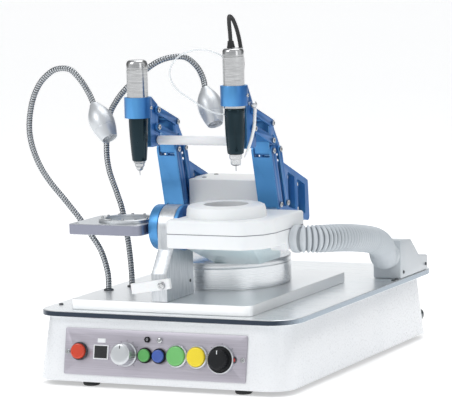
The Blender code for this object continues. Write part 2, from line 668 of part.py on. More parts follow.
# ---------------------------------------------------------------- arms
def channel(name, side, foot, top, web_side, web_from, web_to, depth, web_at, mat):
    """A link: two flanges with pin holes joined by a web along part of its length.

    web_side is +1 for a web behind or above the pivot line and -1 for one in front or below;
    web_from and web_to are shares of the length between the pivots; web_at is how far the web's
    inner face stands off the pivot line, and depth how far the flanges reach.
    """
    x = ARM_X[side]
    start = Vector(foot)
    along = Vector(top) - start
    length = along.length
    along.normalize()
    across = Vector((-along.y, along.x))
    tip_r = depth

    def at(s, w):
        return start + along * s + across * w

    outline = []
    for a in range(-90, 91, 30):
        outline.append(at(length, 0) + (along * math.cos(math.radians(a))
                                        - across * math.sin(math.radians(a))) * tip_r)
    for a in range(90, 271, 30):
        outline.append(at(0, 0) + (along * math.cos(math.radians(a))
                                   - across * math.sin(math.radians(a))) * tip_r)
    holes = [ring_points(start, PIN_HOLE_R, 12), ring_points(at(length, 0), PIN_HOLE_R, 12)]
    ob = plate(name, [outline] + holes, x - ARM_HALF, x + ARM_HALF, "X", mat,
               pivot=(x, foot[0], foot[1]))
    inner = web_at * web_side
    edge_out = (tip_r + 1.0) * web_side
    hollow = [at(-depth - 2, -edge_out), at(length + depth + 2, -edge_out),
              at(length + depth + 2, edge_out), at(length * web_to, edge_out),
              at(length * web_to, inner), at(length * web_from, inner),
              at(length * web_from, edge_out), at(-depth - 2, edge_out)]
    core = plate(name + "_hollow", [hollow], x - CORE_HALF - 0.5, x + CORE_HALF + 0.5, "X",
                 cutter=True)
    combine(ob, core)
    return ob


for side, x in ARM_X.items():
    channel("front_link_" + side, side, LEG_FRONT_FOOT, LEG_FRONT_HEAD, 1, 0.0, 0.91, 8.8, 5.0,
            blue)
    channel("rear_link_" + side, side, LEG_REAR_FOOT, LEG_REAR_HEAD, -1, 0.80, 0.86, 5.6, 2.4,
            blue)
    channel("upper_link_" + side, side, ELBOW_HIGH, WRIST_HIGH, -1, 0.13, 0.87, 5.6, 2.4,
            blue)
    channel("lower_link_" + side, side, ELBOW_LOW, WRIST_LOW, 1, 0.16, 0.78, 5.6, 2.4,
            blue)

    elbow = plate("elbow_" + side,
                  [rounded([(-110.5, 331.5, 4), (-110.5, 385, 5), (-98, 386.5, 4), (-90, 370, 4),
                            (-71.5, 345, 4), (-71.5, 331.5, 4)], 3),
                   rounded([(-98, 346, 2), (-98, 362, 2), (-93, 362, 2), (-84, 348, 2)], 2)],
                  x - CORE_HALF, x + CORE_HALF, "X", blue,
                  pivot=(x, LEG_FRONT_HEAD[0], LEG_FRONT_HEAD[1]))
    for number, (y, z) in enumerate((LEG_FRONT_HEAD, LEG_REAR_HEAD, ELBOW_LOW, ELBOW_HIGH)):
        combine(elbow, rod("elbow_pin_%s_%d" % (side, number), (x - ARM_HALF - 0.6, y, z),
                           (x + ARM_HALF + 0.6, y, z), PIN_R, cutter=True, sides=12), "UNION")

    clamp_low, clamp_high = CLAMP_Z[side]
    wrist = plate("wrist_" + side,
                  [rounded([(-190, 349, 3), (-190, clamp_high - 1, 2), (-184, clamp_high - 1, 3),
                            (-163, 411, 5), (-163, 371, 3), (-158, 368, 2), (-158, 349, 3)], 3)],
                  x - CORE_HALF, x + CORE_HALF, "X", blue,
                  pivot=(x, WRIST_HIGH[0], WRIST_HIGH[1]))
    clamp = rod("clamp_" + side, (x, SPINDLE_Y, clamp_low), (x, SPINDLE_Y, clamp_high), 20.5,
                cutter=True, sides=28)
    combine(wrist, clamp, "UNION")
    combine(wrist, rod("clamp_bore_" + side, (x, SPINDLE_Y, clamp_low - 5),
                       (x, SPINDLE_Y, clamp_high + 5), 16.5, cutter=True, sides=28))
    combine(wrist, rod("nose_way_" + side, (x, SPINDLE_Y, 340), (x, SPINDLE_Y, clamp_low), 17.4,
                       cutter=True, sides=24))
    for number, (y, z) in enumerate((WRIST_LOW, WRIST_HIGH)):
        combine(wrist, rod("wrist_pin_%s_%d" % (side, number), (x - ARM_HALF - 0.6, y, z),
                           (x + ARM_HALF + 0.6, y, z), PIN_R, cutter=True, sides=12), "UNION")

rod("cross_tube", (ARM_X["left"] + CORE_HALF + GAP, -166, 358),
    (ARM_X["right"] - CORE_HALF - GAP, -166, 358), 7, white_plastic, sides=20)

# ---------------------------------------------------------------- tracer and mill
left = (ARM_X["left"], SPINDLE_Y, 0)
right = (ARM_X["right"], SPINDLE_Y, 0)
turned("tracer_body", [(0, 482), (10, 482), (14, 480), (16, 475), (16, 395.3), (0, 395.3)],
       chrome, left, sides=20)
turned("tracer_nose", [(0, 395), (14.6, 395), (14.6, 389), (13.4, 360), (11.0, 332), (9.2, 329),
                       (5.5, 328), (4.6, 318), (2.2, 315), (0.9, 314.6), (0.9, 308), (0, 307.6)],
       black_plastic, left, sides=18)
turned("mill_body", [(0, 500), (12, 500), (15, 498.5), (16, 495), (16, 415), (16.6, 414.6),
                     (16.6, 411.3), (0, 411.3)],
       chrome, right, sides=20)
turned("mill_nose", [(0, 411), (14.8, 411), (15.2, 404), (14.4, 372), (12.0, 343.5), (0, 343.5)],
       black_plastic, right, sides=20)
turned("mill_bur", [(0, 343.2), (9.6, 343.2), (9.6, 336), (7.6, 334), (7.6, 327), (5.5, 325.6),
                    (1.2, 325.2), (1.2, 318), (0, 316.8)],
       chrome, right, sides=18)

x = ARM_X["right"]
tube("spindle_cable",
     [(x - 3, SPINDLE_Y, 500.7), (x - 4, SPINDLE_Y, 520), (x - 7, SPINDLE_Y + 4, 538),
      (x - 10, SPINDLE_Y + 13, 546), (x - 8, SPINDLE_Y + 23, 538), (x - 3, SPINDLE_Y + 28, 515),
      (x + 2, SPINDLE_Y + 28, 480), (x + 3, SPINDLE_Y + 23, 458), (x + 3, -184.5, 445.4)],
     3.6, black_rubber, 9.0, 2)
tube("coolant_tube",
     [(x - 16.9, SPINDLE_Y, 487), (x - 26, SPINDLE_Y, 492), (x - 44, SPINDLE_Y, 497),
      (x - 66, SPINDLE_Y, 496), (x - 88, SPINDLE_Y, 488), (x - 102, SPINDLE_Y, 472),
      (x - 104, SPINDLE_Y, 456), (x - 94, SPINDLE_Y, 439), (x - 72, SPINDLE_Y, 424),
      (x - 46, SPINDLE_Y, 409), (x - 28, SPINDLE_Y, 402.5), (x - 16.2, SPINDLE_Y, 402)],
     1.5, clear, 12.0, 1)
nozzle_x = x + CORE_HALF + 8.5
tube("coolant_nozzle",
     [(nozzle_x - 8, -182, 416), (nozzle_x - 1, -182, 416), (nozzle_x + 2, -183, 411),
      (nozzle_x + 3, -186, 400), (nozzle_x + 3.5, -190, 384), (nozzle_x + 1, -195, 366),
      (nozzle_x - 3, -200, 350), (nozzle_x - 8, -202, 338)],
     2.4, white_plastic, 7.0, 2)
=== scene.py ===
"""Looks of the manual dental copy-milling machine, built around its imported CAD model."""
import math

import bmesh
import bpy
from mathutils import Matrix, Vector


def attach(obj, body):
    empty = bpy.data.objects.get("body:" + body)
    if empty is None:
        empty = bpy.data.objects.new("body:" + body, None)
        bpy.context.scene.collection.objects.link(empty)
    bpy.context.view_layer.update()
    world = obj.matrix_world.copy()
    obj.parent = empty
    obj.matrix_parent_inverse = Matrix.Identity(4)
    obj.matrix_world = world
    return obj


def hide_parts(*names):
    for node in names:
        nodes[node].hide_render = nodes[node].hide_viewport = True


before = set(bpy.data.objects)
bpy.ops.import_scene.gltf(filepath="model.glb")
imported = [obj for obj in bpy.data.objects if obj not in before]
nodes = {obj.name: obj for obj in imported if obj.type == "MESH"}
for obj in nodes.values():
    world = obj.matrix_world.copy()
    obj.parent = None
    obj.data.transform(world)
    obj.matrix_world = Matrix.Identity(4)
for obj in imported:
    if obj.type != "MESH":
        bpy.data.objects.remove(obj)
bpy.context.view_layer.update()

MM = 0.001
PLAN = Vector((18.4, 10.7, 0.0))    # from the machine's own plan to the row frame, in mm
TILT_Y = -218.0
TILT_Z = 233.0
SPINDLE_Y = -205.0
LEFT_X = -73.5              # middle of the left arm, the tracer's
RIGHT_X = 85.5              # middle of the right arm, the mill's
MODEL_X = -90.0
BLOCK_X = 69.0
MOUTH_X = 74.0
PLATE_TOP = 240.5
RING_TOP = 245.7
TUBE_Y = -166.0


def at(x, y, z):
    """A point of the machine's plan, in mm, as a row frame point in metres."""
    return (Vector((x, y, z)) + PLAN) * MM


def add(name, data):
    """A new object in the scene."""
    made = bpy.data.objects.new(name, data)
    bpy.context.scene.collection.objects.link(made)
    return made


# ---- camera
YAW = math.radians(24.856)
PITCH = math.radians(6.625)
ROLL = math.radians(-1.519)
ahead = Vector((-math.sin(YAW) * math.cos(PITCH), math.cos(YAW) * math.cos(PITCH), -math.sin(PITCH)))
right = Vector((math.cos(YAW), math.sin(YAW), 0.0))
above = right.cross(ahead)
rolled_right = math.cos(ROLL) * right + math.sin(ROLL) * above
rolled_up = -math.sin(ROLL) * right + math.cos(ROLL) * above
camera_data = bpy.data.cameras.new("camera")
camera_data.lens = 229.4
camera_data.sensor_width = 36.0
camera_data.clip_start = 0.1
camera_data.clip_end = 200.0
camera = add("camera", camera_data)
spot = at(1852.3, -4057.5, 762.8)
camera.matrix_world = Matrix(((rolled_right.x, rolled_up.x, -ahead.x, spot.x),
                              (rolled_right.y, rolled_up.y, -ahead.y, spot.y),
                              (rolled_right.z, rolled_up.z, -ahead.z, spot.z),
                              (0.0, 0.0, 0.0, 1.0)))
bpy.context.scene.camera = camera


# ---- material nodes
def paint(name, rgb, rough, metal=0.0, **sockets):
    """A material and its shader; extra keywords set the shader's own sockets."""
    made = bpy.data.materials.new(name)
    made.use_nodes = True
    shader = made.node_tree.nodes["Principled BSDF"]
    shader.inputs["Base Color"].default_value = (*rgb, 1.0)
    shader.inputs["Roughness"].default_value = rough
    shader.inputs["Metallic"].default_value = metal
    for key, value in sockets.items():
        shader.inputs[key.replace("_", " ")].default_value = value
    made.diffuse_color = (*rgb, 1.0)
    return made


def node(mat, kind, **values):
    made = mat.node_tree.nodes.new(kind)
    for key, value in values.items():
        setattr(made, key, value)
    return made


def wire(mat, source, target):
    mat.node_tree.links.new(source, target)


def socket(mat, name):
    """An input of the material's own shader."""
    return mat.node_tree.nodes["Principled BSDF"].inputs[name]


def place(mat, scale=(1, 1, 1), centre=(0, 0, 0)):
    """Object coordinates in metres, about a centre, scaled along each axis."""
    coords = node(mat, "ShaderNodeTexCoord")
    mapping = node(mat, "ShaderNodeMapping")
    mapping.inputs["Scale"].default_value = scale
    mapping.inputs["Location"].default_value = [-c * s for c, s in zip(centre, scale)]
    wire(mat, coords.outputs["Object"], mapping.inputs["Vector"])
    return mapping.outputs["Vector"]


def round_place(mat, centre, around=0.0, out=1.0, along=1.0):
    """Coordinates on a turned piece about a vertical axis: angle, radius and height, each scaled."""
    coords = node(mat, "ShaderNodeTexCoord")
    shift = node(mat, "ShaderNodeVectorMath", operation="SUBTRACT")
    shift.inputs[1].default_value = centre
    wire(mat, coords.outputs["Object"], shift.inputs[0])
    flat = node(mat, "ShaderNodeVectorMath", operation="MULTIPLY")
    flat.inputs[1].default_value = (1.0, 1.0, 0.0)
    wire(mat, shift.outputs[0], flat.inputs[0])
    radius = node(mat, "ShaderNodeVectorMath", operation="LENGTH")
    wire(mat, flat.outputs[0], radius.inputs[0])
    parts = node(mat, "ShaderNodeSeparateXYZ")
    wire(mat, shift.outputs[0], parts.inputs[0])
    angle = node(mat, "ShaderNodeMath", operation="ARCTAN2")
    wire(mat, parts.outputs["Y"], angle.inputs[0])
    wire(mat, parts.outputs["X"], angle.inputs[1])
    joined = node(mat, "ShaderNodeCombineXYZ")
    for index, (source, factor) in enumerate(((angle.outputs[0], around), (radius.outputs["Value"], out),
                                              (parts.outputs["Z"], along))):
        times = node(mat, "ShaderNodeMath", operation="MULTIPLY")
        times.inputs[1].default_value = factor
        wire(mat, source, times.inputs[0])
        wire(mat, times.outputs[0], joined.inputs[index])
    return joined.outputs[0]


def noise(mat, vector, scale, detail=3.0, rough=0.55):
    made = node(mat, "ShaderNodeTexNoise")
    made.inputs["Scale"].default_value = scale
    made.inputs["Detail"].default_value = detail
    made.inputs["Roughness"].default_value = rough
    wire(mat, vector, made.inputs["Vector"])
    return made.outputs["Fac"]


def vary(mat, factor, dark, light, low=0.3, high=0.7):
    """Base colour between two shades, by a noise factor."""
    ramp = node(mat, "ShaderNodeValToRGB")
    ramp.color_ramp.elements[0].position = low
    ramp.color_ramp.elements[0].color = (*dark, 1.0)
    ramp.color_ramp.elements[1].position = high
    ramp.color_ramp.elements[1].color = (*light, 1.0)
    wire(mat, factor, ramp.inputs["Fac"])
    wire(mat, ramp.outputs["Color"], socket(mat, "Base Color"))
    return ramp.outputs["Color"]


def roughen(mat, factor, low, high):
    spread = node(mat, "ShaderNodeMapRange")
    spread.inputs["To Min"].default_value = low
    spread.inputs["To Max"].default_value = high
    wire(mat, factor, spread.inputs["Value"])
    wire(mat, spread.outputs["Result"], socket(mat, "Roughness"))


def bump(mat, factor, strength, distance):
    made = node(mat, "ShaderNodeBump")
    made.inputs["Strength"].default_value = strength
    made.inputs["Distance"].default_value = distance
    wire(mat, factor, made.inputs["Height"])
    wire(mat, made.outputs["Normal"], socket(mat, "Normal"))


def facing(mat, axis, low, high):
    """1 where the surface faces along an axis, 0 where it is edge-on."""
    geometry = node(mat, "ShaderNodeNewGeometry")
    parts = node(mat, "ShaderNodeSeparateXYZ")
    wire(mat, geometry.outputs["Normal"], parts.inputs[0])
    size = node(mat, "ShaderNodeMath", operation="ABSOLUTE")
    wire(mat, parts.outputs[axis], size.inputs[0])
    spread = node(mat, "ShaderNodeMapRange")
    spread.inputs["From Min"].default_value = low
    spread.inputs["From Max"].default_value = high
    wire(mat, size.outputs[0], spread.inputs["Value"])
    return spread.outputs["Result"]


def blend_colour(mat, factor, first, second):
    """Base colour: first where the factor is 0, second where it is 1. Each is a colour or an output."""
    mix = node(mat, "ShaderNodeMix", data_type="RGBA")
    wire(mat, factor, mix.inputs["Factor"])
    for end, value in ((mix.inputs[6], first), (mix.inputs[7], second)):
        if isinstance(value, tuple):
            end.default_value = (*value, 1.0)
        else:
            wire(mat, value, end)
    wire(mat, mix.outputs[2], socket(mat, "Base Color"))
    return mix.outputs[2]


def plain(name, dark, light, rough, metal=0.0, grain=220.0, relief=0.15, patch=9.0, **sockets):
    """A moulded or sprayed finish: broad tone variation, fine grain in roughness and relief."""
    mat = paint(name, light, sum(rough) / 2, metal, **sockets)
    where = place(mat)
    vary(mat, noise(mat, where, patch, 4.0), dark, light)
    fine = noise(mat, where, grain, 3.0)
    roughen(mat, fine, *rough)
    bump(mat, fine, relief, 0.0002)
    return mat


def brushed(name, dark, light, rough, stretch, metal=1.0, relief=0.25, scale=1.0, **sockets):
    """A brushed metal: streaks along the axis with the small stretch."""
    mat = paint(name, light, sum(rough) / 2, metal, **sockets)
    streak = noise(mat, place(mat, stretch), scale, 5.0, 0.65)
    vary(mat, streak, dark, light)
    roughen(mat, streak, *rough)
    bump(mat, streak, relief, 0.00008)
    return mat


def spun(name, dark, light, rough, centre, metal=1.0, relief=0.2, **sockets):
    """A lathe-turned metal about a vertical axis: rings on its faces, lines round its sides."""
    mat = paint(name, light, sum(rough) / 2, metal, **sockets)
    lines = noise(mat, round_place(mat, centre, 0.6, 1500.0, 1500.0), 1.0, 4.0, 0.7)
    vary(mat, lines, dark, light)
    roughen(mat, lines, *rough)
    bump(mat, lines, relief, 0.00006)
    return mat


white_paint = plain("white_paint", (0.78, 0.80, 0.825), (0.82, 0.835, 0.855), (0.24, 0.32), grain=420.0,
    relief=0.012, Coat_Weight=0.35, Coat_Roughness=0.12)
white_plastic = plain("white_plastic", (0.83, 0.84, 0.855), (0.87, 0.875, 0.885), (0.34, 0.44),
    grain=700.0, relief=0.02, Subsurface_Weight=0.05)
beam_white = plain("beam_white", (0.89, 0.89, 0.885), (0.94, 0.94, 0.935), (0.36, 0.46), grain=700.0,
    relief=0.02, Subsurface_Weight=0.05)
# painted shadow: a dark strip material standing for the shade in the housing's seam gap
seam_shadow_mat = plain("seam_shadow_strip", (0.16, 0.17, 0.18), (0.24, 0.25, 0.27), (0.5, 0.7), grain=900.0)
funnel_mat = plain("funnel_plastic", (0.62, 0.77, 0.81), (0.70, 0.83, 0.87), (0.24, 0.34), grain=500.0,
    relief=0.02, Coat_Weight=0.3)
machined = brushed("machined_aluminium", (0.50, 0.53, 0.56), (0.70, 0.72, 0.745), (0.30, 0.46),
    (300, 300, 40), metal=0.9, relief=0.2)
chrome = brushed("spindle_chrome", (0.40, 0.405, 0.41), (0.70, 0.705, 0.71), (0.10, 0.20), (60, 60, 1400),
    relief=0.08)
bright_metal = brushed("bright_steel", (0.38, 0.39, 0.40), (0.66, 0.67, 0.68), (0.14, 0.24),
    (700, 700, 700), relief=0.06)
dark_metal = brushed("dark_steel", (0.05, 0.055, 0.06), (0.14, 0.15, 0.16), (0.25, 0.42), (500, 500, 500),
    relief=0.1)
neck_metal = brushed("gooseneck_chrome", (0.30, 0.32, 0.34), (0.52, 0.54, 0.56), (0.14, 0.24),
    (500, 500, 500), relief=0.04)
# painted shade: near-black chrome standing for the shade in the gooseneck's spiral grooves
neck_shade_mat = brushed("gooseneck_groove_shade", (0.02, 0.022, 0.025), (0.05, 0.055, 0.06), (0.35, 0.5),
    (500, 500, 500), relief=0.04)
silver = plain("satin_silver", (0.56, 0.58, 0.60), (0.68, 0.70, 0.72), (0.28, 0.36), 0.85, grain=1400.0,
    relief=0.02)
lamp_silver = plain("lamp_silver", (0.60, 0.625, 0.65), (0.70, 0.725, 0.75), (0.34, 0.44), 0.6,
    grain=1400.0, relief=0.02)
rubber = plain("black_rubber", (0.010, 0.011, 0.012), (0.022, 0.023, 0.025), (0.42, 0.62), grain=900.0,
    relief=0.2)
gloss_black = plain("gloss_black", (0.002, 0.006, 0.009), (0.004, 0.012, 0.018), (0.12, 0.18),
    grain=300.0, relief=0.02, Specular_IOR_Level=0.40, Specular_Tint=(0.55, 0.85, 1.0, 1.0))
black_plastic = plain("black_plastic", (0.006, 0.007, 0.008), (0.012, 0.013, 0.015), (0.34, 0.48),
    grain=900.0, relief=0.05, Specular_IOR_Level=0.2)
hose_mat = plain("hose_plastic", (0.50, 0.54, 0.575), (0.61, 0.65, 0.685), (0.34, 0.48), grain=500.0,
    relief=0.04)
# painted shade: a darker grey standing for the shade in the hose's rib valleys
hose_groove_shade = plain("hose_groove_shade", (0.20, 0.225, 0.25), (0.29, 0.315, 0.34), (0.5, 0.6), grain=500.0,
    relief=0.04)
box_mat = plain("box_paint", (0.52, 0.56, 0.59), (0.60, 0.63, 0.66), (0.30, 0.40), grain=480.0,
    relief=0.02, Coat_Weight=0.2)


def cap(name, dark, light, rough=(0.26, 0.36)):
    """The glossy moulding of a button cap."""
    return plain(name, dark, light, rough, relief=0.05, Coat_Weight=0.3)


red_plastic = cap("red_cap", (0.52, 0.036, 0.010), (0.66, 0.058, 0.016), (0.24, 0.34))
green_plastic = cap("green_cap", (0.10, 0.40, 0.10), (0.16, 0.50, 0.15))
dark_green = cap("dark_green_cap", (0.07, 0.33, 0.07), (0.12, 0.43, 0.12))
yellow_plastic = cap("yellow_cap", (0.76, 0.57, 0.014), (0.86, 0.68, 0.022))
blue_plastic = cap("blue_cap", (0.035, 0.08, 0.34), (0.055, 0.12, 0.44))
clear_plastic = plain("clear_tube", (0.78, 0.82, 0.85), (0.88, 0.91, 0.93), (0.10, 0.18), Alpha=0.55,
    Coat_Weight=0.4)
display_glass = plain("display_glass", (0.004, 0.005, 0.006), (0.008, 0.010, 0.012), (0.08, 0.14),
    relief=0.02, Coat_Weight=0.6)

# blue arms: satin, deep blue on the flat sides; faces not turned along X are painted paler as painted
# light, and the machined edges take a paler blue as a painted highlight
blue = paint("blue_anodised", (0.05, 0.20, 0.48), 0.34, 0.55)
blue_place = place(blue)
blue_streak = noise(blue, place(blue, (90, 900, 90)), 1.0, 4.0, 0.6)
blue_deep = vary(blue, noise(blue, blue_place, 30.0), (0.018, 0.120, 0.36), (0.032, 0.165, 0.45))
# painted light: the flat sides facing along X keep the deep blue, and every other face is painted paler
blend_colour(blue, facing(blue, "X", 0.35, 0.85), (0.085, 0.30, 0.62), blue_deep)
roughen(blue, blue_streak, 0.28, 0.42)
bump(blue, blue_streak, 0.12, 0.00008)
# painted highlight: the paler blue given to the bevelled edges of the arms
blue_edge_highlight = brushed("blue_edge_highlight", (0.22, 0.48, 0.74), (0.34, 0.60, 0.84), (0.24, 0.34), (200, 200, 200),
    metal=0.6, relief=0.05)

# top plate: pale brushed face, polished edge band painted dark as a painted reflection: darkest on the
# front and rear edges, lighter on the sides
deck_mat = paint("brushed_top_plate", (0.66, 0.72, 0.76), 0.3, 0.7)
deck_streak = noise(deck_mat, place(deck_mat, (14, 520, 520)), 1.0, 6.0, 0.7)
deck_patch = noise(deck_mat, place(deck_mat), 7.0, 3.0)
deck_mix = node(deck_mat, "ShaderNodeMath", operation="MULTIPLY_ADD")
deck_mix.inputs[1].default_value = 0.45
wire(deck_mat, deck_patch, deck_mix.inputs[0])
deck_half = node(deck_mat, "ShaderNodeMath", operation="MULTIPLY")
deck_half.inputs[1].default_value = 0.55
wire(deck_mat, deck_streak, deck_half.inputs[0])
wire(deck_mat, deck_half.outputs[0], deck_mix.inputs[2])
deck_face = vary(deck_mat, deck_mix.outputs[0], (0.90, 0.935, 0.955), (0.97, 0.985, 0.99), 0.35, 0.62)
# painted reflection: the front and rear edges are painted near black, the sides a lighter grey
deck_band_painted_reflection = blend_colour(deck_mat, facing(deck_mat, "Y", 0.25, 0.9), (0.34, 0.40, 0.46),
                         (0.030, 0.042, 0.062))
blend_colour(deck_mat, facing(deck_mat, "Z", 0.3, 0.8), deck_band_painted_reflection, deck_face)
roughen(deck_mat, deck_streak, 0.20, 0.38)
bump(deck_mat, deck_streak, 0.18, 0.00006)

dais_mat = brushed("brushed_raised_plate", (0.92, 0.94, 0.955), (0.97, 0.98, 0.985), (0.24, 0.40),
    (16, 460, 460), metal=0.7, relief=0.15)
drum_mat = spun("turned_drum", (0.64, 0.665, 0.69), (0.80, 0.82, 0.84), (0.22, 0.32), at(-8, -54, 0),
    relief=0.08)
plate_metal = paint("model_plate_metal", (0.70, 0.72, 0.745), 0.4, 0.85)
plate_streak = noise(plate_metal, place(plate_metal, (300, 300, 40)), 1.0, 5.0, 0.65)
plate_face = vary(plate_metal, plate_streak, (0.60, 0.625, 0.65), (0.76, 0.78, 0.80))
# painted shade: faces not turned up, such as the plate's edges, are painted darker than its top
blend_colour(plate_metal, facing(plate_metal, "Z", 0.4, 0.9), (0.30, 0.31, 0.38), plate_face)
roughen(plate_metal, plate_streak, 0.30, 0.46)
ring_mat = spun("turned_ring", (0.50, 0.53, 0.56), (0.74, 0.76, 0.78), (0.24, 0.36),
    at(MODEL_X, TILT_Y, 0), metal=0.9)
panel_mat = brushed("panel_face", (0.40, 0.38, 0.43), (0.50, 0.475, 0.535), (0.30, 0.42), (10, 700, 700),
    metal=0.55, relief=0.1)

lens_mat = paint("lamp_lens", (0.75, 0.80, 0.85), 0.08, 0.0, IOR=1.45, Coat_Weight=0.5)
lens_cells = node(lens_mat, "ShaderNodeTexVoronoi")
lens_cells.inputs["Scale"].default_value = 420.0
wire(lens_mat, place(lens_mat), lens_cells.inputs["Vector"])
vary(lens_mat, lens_cells.outputs["Distance"], (0.04, 0.045, 0.05), (0.50, 0.54, 0.58), 0.1, 0.8)
red_lens = plain("red_lens", (0.30, 0.006, 0.004), (0.46, 0.012, 0.008), (0.12, 0.2), Coat_Weight=0.6)


# ---- mesh helpers
smoother = bpy.data.node_groups.new("weld_and_smooth", "GeometryNodeTree")
smoother.interface.new_socket("Geometry", in_out="INPUT", socket_type="NodeSocketGeometry")
smoother.interface.new_socket("Geometry", in_out="OUTPUT", socket_type="NodeSocketGeometry")
chain = [smoother.nodes.new(kind) for kind in ("NodeGroupInput", "GeometryNodeMergeByDistance",
                                               "GeometryNodeSetShadeSmooth",
                                               "GeometryNodeSetShadeSmooth", "NodeGroupOutput")]
chain[1].inputs["Distance"].default_value = 0.00001
chain[2].domain = "FACE"
chain[3].domain = "EDGE"
chain[3].inputs["Shade Smooth"].default_value = False
for first, second in zip(chain, chain[1:]):
    smoother.links.new(first.outputs[0], second.inputs[0])
edge_angle = smoother.nodes.new("GeometryNodeInputMeshEdgeAngle")
over = smoother.nodes.new("FunctionNodeCompare")
over.data_type = "FLOAT"
over.operation = "GREATER_THAN"
over.inputs[1].default_value = math.radians(32)
smoother.links.new(edge_angle.outputs["Unsigned Angle"], over.inputs[0])
smoother.links.new(over.outputs[0], chain[3].inputs["Selection"])


def soften(ob, edge=0.4, segments=2, edge_mat=None):
    """Weld a faceted piece, clear its flat triangles, round its edges and smooth its curves."""
    if "custom_normal" in ob.data.attributes:
        ob.data.attributes.remove(ob.data.attributes["custom_normal"])
    ob.modifiers.new("weld", "WELD").merge_threshold = 0.00001
    flat = ob.modifiers.new("flat", "DECIMATE")
    flat.decimate_type = "DISSOLVE"
    flat.angle_limit = math.radians(0.4)
    if edge:
        mod = ob.modifiers.new("edge", "BEVEL")
        mod.width = edge * MM
        mod.segments = segments
        mod.limit_method = "ANGLE"
        mod.angle_limit = math.radians(32)
        mod.use_clamp_overlap = True
        if edge_mat:
            ob.data.materials.append(edge_mat)
            mod.material = len(ob.data.materials) - 1
    ob.modifiers.new("smooth", "NODES").node_group = smoother


def dress(name, mat, edge=0.4, segments=2, edge_mat=None):
    """Give a CAD node its finish."""
    ob = nodes[name]
    ob.data.materials.clear()
    ob.data.materials.append(mat)
    soften(ob, edge, segments, edge_mat)


def publish(name, bm, mat, body, slot=None, stands_for=(), sharp=32.0, mats=()):
    """Make an object from a bmesh whose coordinates are row frame metres."""
    bmesh.ops.recalc_face_normals(bm, faces=bm.faces)
    mesh = bpy.data.meshes.new(name)
    bm.to_mesh(mesh)
    bm.free()
    mesh.materials.append(mat)
    for extra in mats:
        mesh.materials.append(extra)
    mesh.shade_smooth()
    mesh.set_sharp_from_angle(angle=math.radians(sharp))
    ob = add(name, mesh)
    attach(ob, body)
    if stands_for:
        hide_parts(*stands_for)


def spoke(side, other, angle):
    """The unit vector at an angle between two directions square to each other."""
    return side * math.cos(angle) + other * math.sin(angle)


def turn(bm, profile, centre, axis=(0, 0, 1), sides=64, shape=None, mat_index=0, start=(1, 0, 0)):
    """Add a turned solid: (radius, height) in mm along an axis through a row frame point.

    shape(angle, height) may change the radius. A profile whose ends aren't on the axis is closed.
    """
    axis = Vector(axis).normalized()
    side = Vector(start) if abs(axis.dot(Vector(start))) < 0.9 else Vector((0, 1, 0))
    side = (side - axis * side.dot(axis)).normalized()
    other = axis.cross(side)
    rings = []
    for radius, height in profile:
        if radius < 1e-6:
            rings.append([bm.verts.new(centre + axis * height * MM)])
            continue
        ring = []
        for k in range(sides):
            angle = 2 * math.pi * k / sides
            r = radius * (shape(angle, height) if shape else 1.0)
            ring.append(bm.verts.new(centre + (axis * height + spoke(side, other, angle) * r) * MM))
        rings.append(ring)
    pairs = list(zip(rings, rings[1:]))
    if profile[0][0] > 1e-6 and profile[-1][0] > 1e-6:
        pairs.append((rings[-1], rings[0]))
    for upper, lower in pairs:
        for k in range(sides):
            n = (k + 1) % sides
            corners = [upper[k % len(upper)], lower[k % len(lower)], lower[n % len(lower)],
                upper[n % len(upper)]]
            unique = [v for i, v in enumerate(corners) if v not in corners[:i]]
            if len(unique) > 2:
                bm.faces.new(unique).material_index = mat_index


def lathe(details, profile, *where, **more):
    """Publish one turned piece; details are publish's name, material, body, slot and nodes."""
    bm = bmesh.new()
    turn(bm, profile, *where, **more)
    publish(details[0], bm, *details[1:])


def hexagon(recess):
    """Shape for a hexagonal recess of that flat-to-centre distance."""
    def radius(angle):
        part = (angle + math.pi / 6) % (math.pi / 3) - math.pi / 6
        return recess / math.cos(part)
    return radius


def screw_head(bm, centre, axis, radius, height, kind="hex", mat_index=0):
    """A cap or pan screw head with its recess; its base lies at the centre point."""
    sides = 24
    axis = Vector(axis).normalized()
    side = axis.orthogonal().normalized()
    other = axis.cross(side)
    hexed = hexagon(radius * 0.48)
    levels = [("round", radius, 0.0), ("round", radius, height * 0.72), ("round", radius * 0.86, height),
        ("recess", 1.0, height), ("recess", 0.98, height * 0.35)]
    rings = []
    for style, r, h in levels:
        ring = []
        for k in range(sides):
            angle = 2 * math.pi * k / sides
            if style == "round":
                reach = r
            elif kind == "hex":
                reach = hexed(angle) * r
            else:
                arm = abs(math.cos(2 * angle)) > 0.9
                reach = radius * (0.62 if arm else 0.16) * r
            ring.append(bm.verts.new(centre + (axis * h + spoke(side, other, angle) * reach) * MM))
        rings.append(ring)
    for upper, lower in zip(rings, rings[1:]):
        for k in range(sides):
            n = (k + 1) % sides
            bm.faces.new((upper[k], upper[n], lower[n], lower[k])).material_index = mat_index
    bm.faces.new(rings[-1]).material_index = mat_index
    bm.faces.new(rings[0][::-1]).material_index = mat_index


def smooth_path(knots, spacing):
    """Points about one spacing apart along a Catmull-Rom curve through the knots."""
    knots = [Vector(k) for k in knots]
    ends = [knots[0] * 2 - knots[1]] + knots + [knots[-1] * 2 - knots[-2]]
    fine = []
    for a, b, c, d in zip(ends, ends[1:], ends[2:], ends[3:]):
        for k in range(20):
            t = k / 20
            fine.append(0.5 * (2 * b + (c - a) * t + (2 * a - 5 * b + 4 * c - d) * t * t
                               + (3 * b - a - 3 * c + d) * t ** 3))
    fine.append(knots[-1])
    total = sum((q - p).length for p, q in zip(fine, fine[1:]))
    count = max(2, round(total / spacing))
    step = total / count
    points = [fine[0]]
    run = 0.0
    for p, q in zip(fine, fine[1:]):
        length = (q - p).length
        while len(points) < count and run + length >= step * len(points):
            points.append(p.lerp(q, (step * len(points) - run) / length))
        run += length
    points.append(fine[-1])
    return points


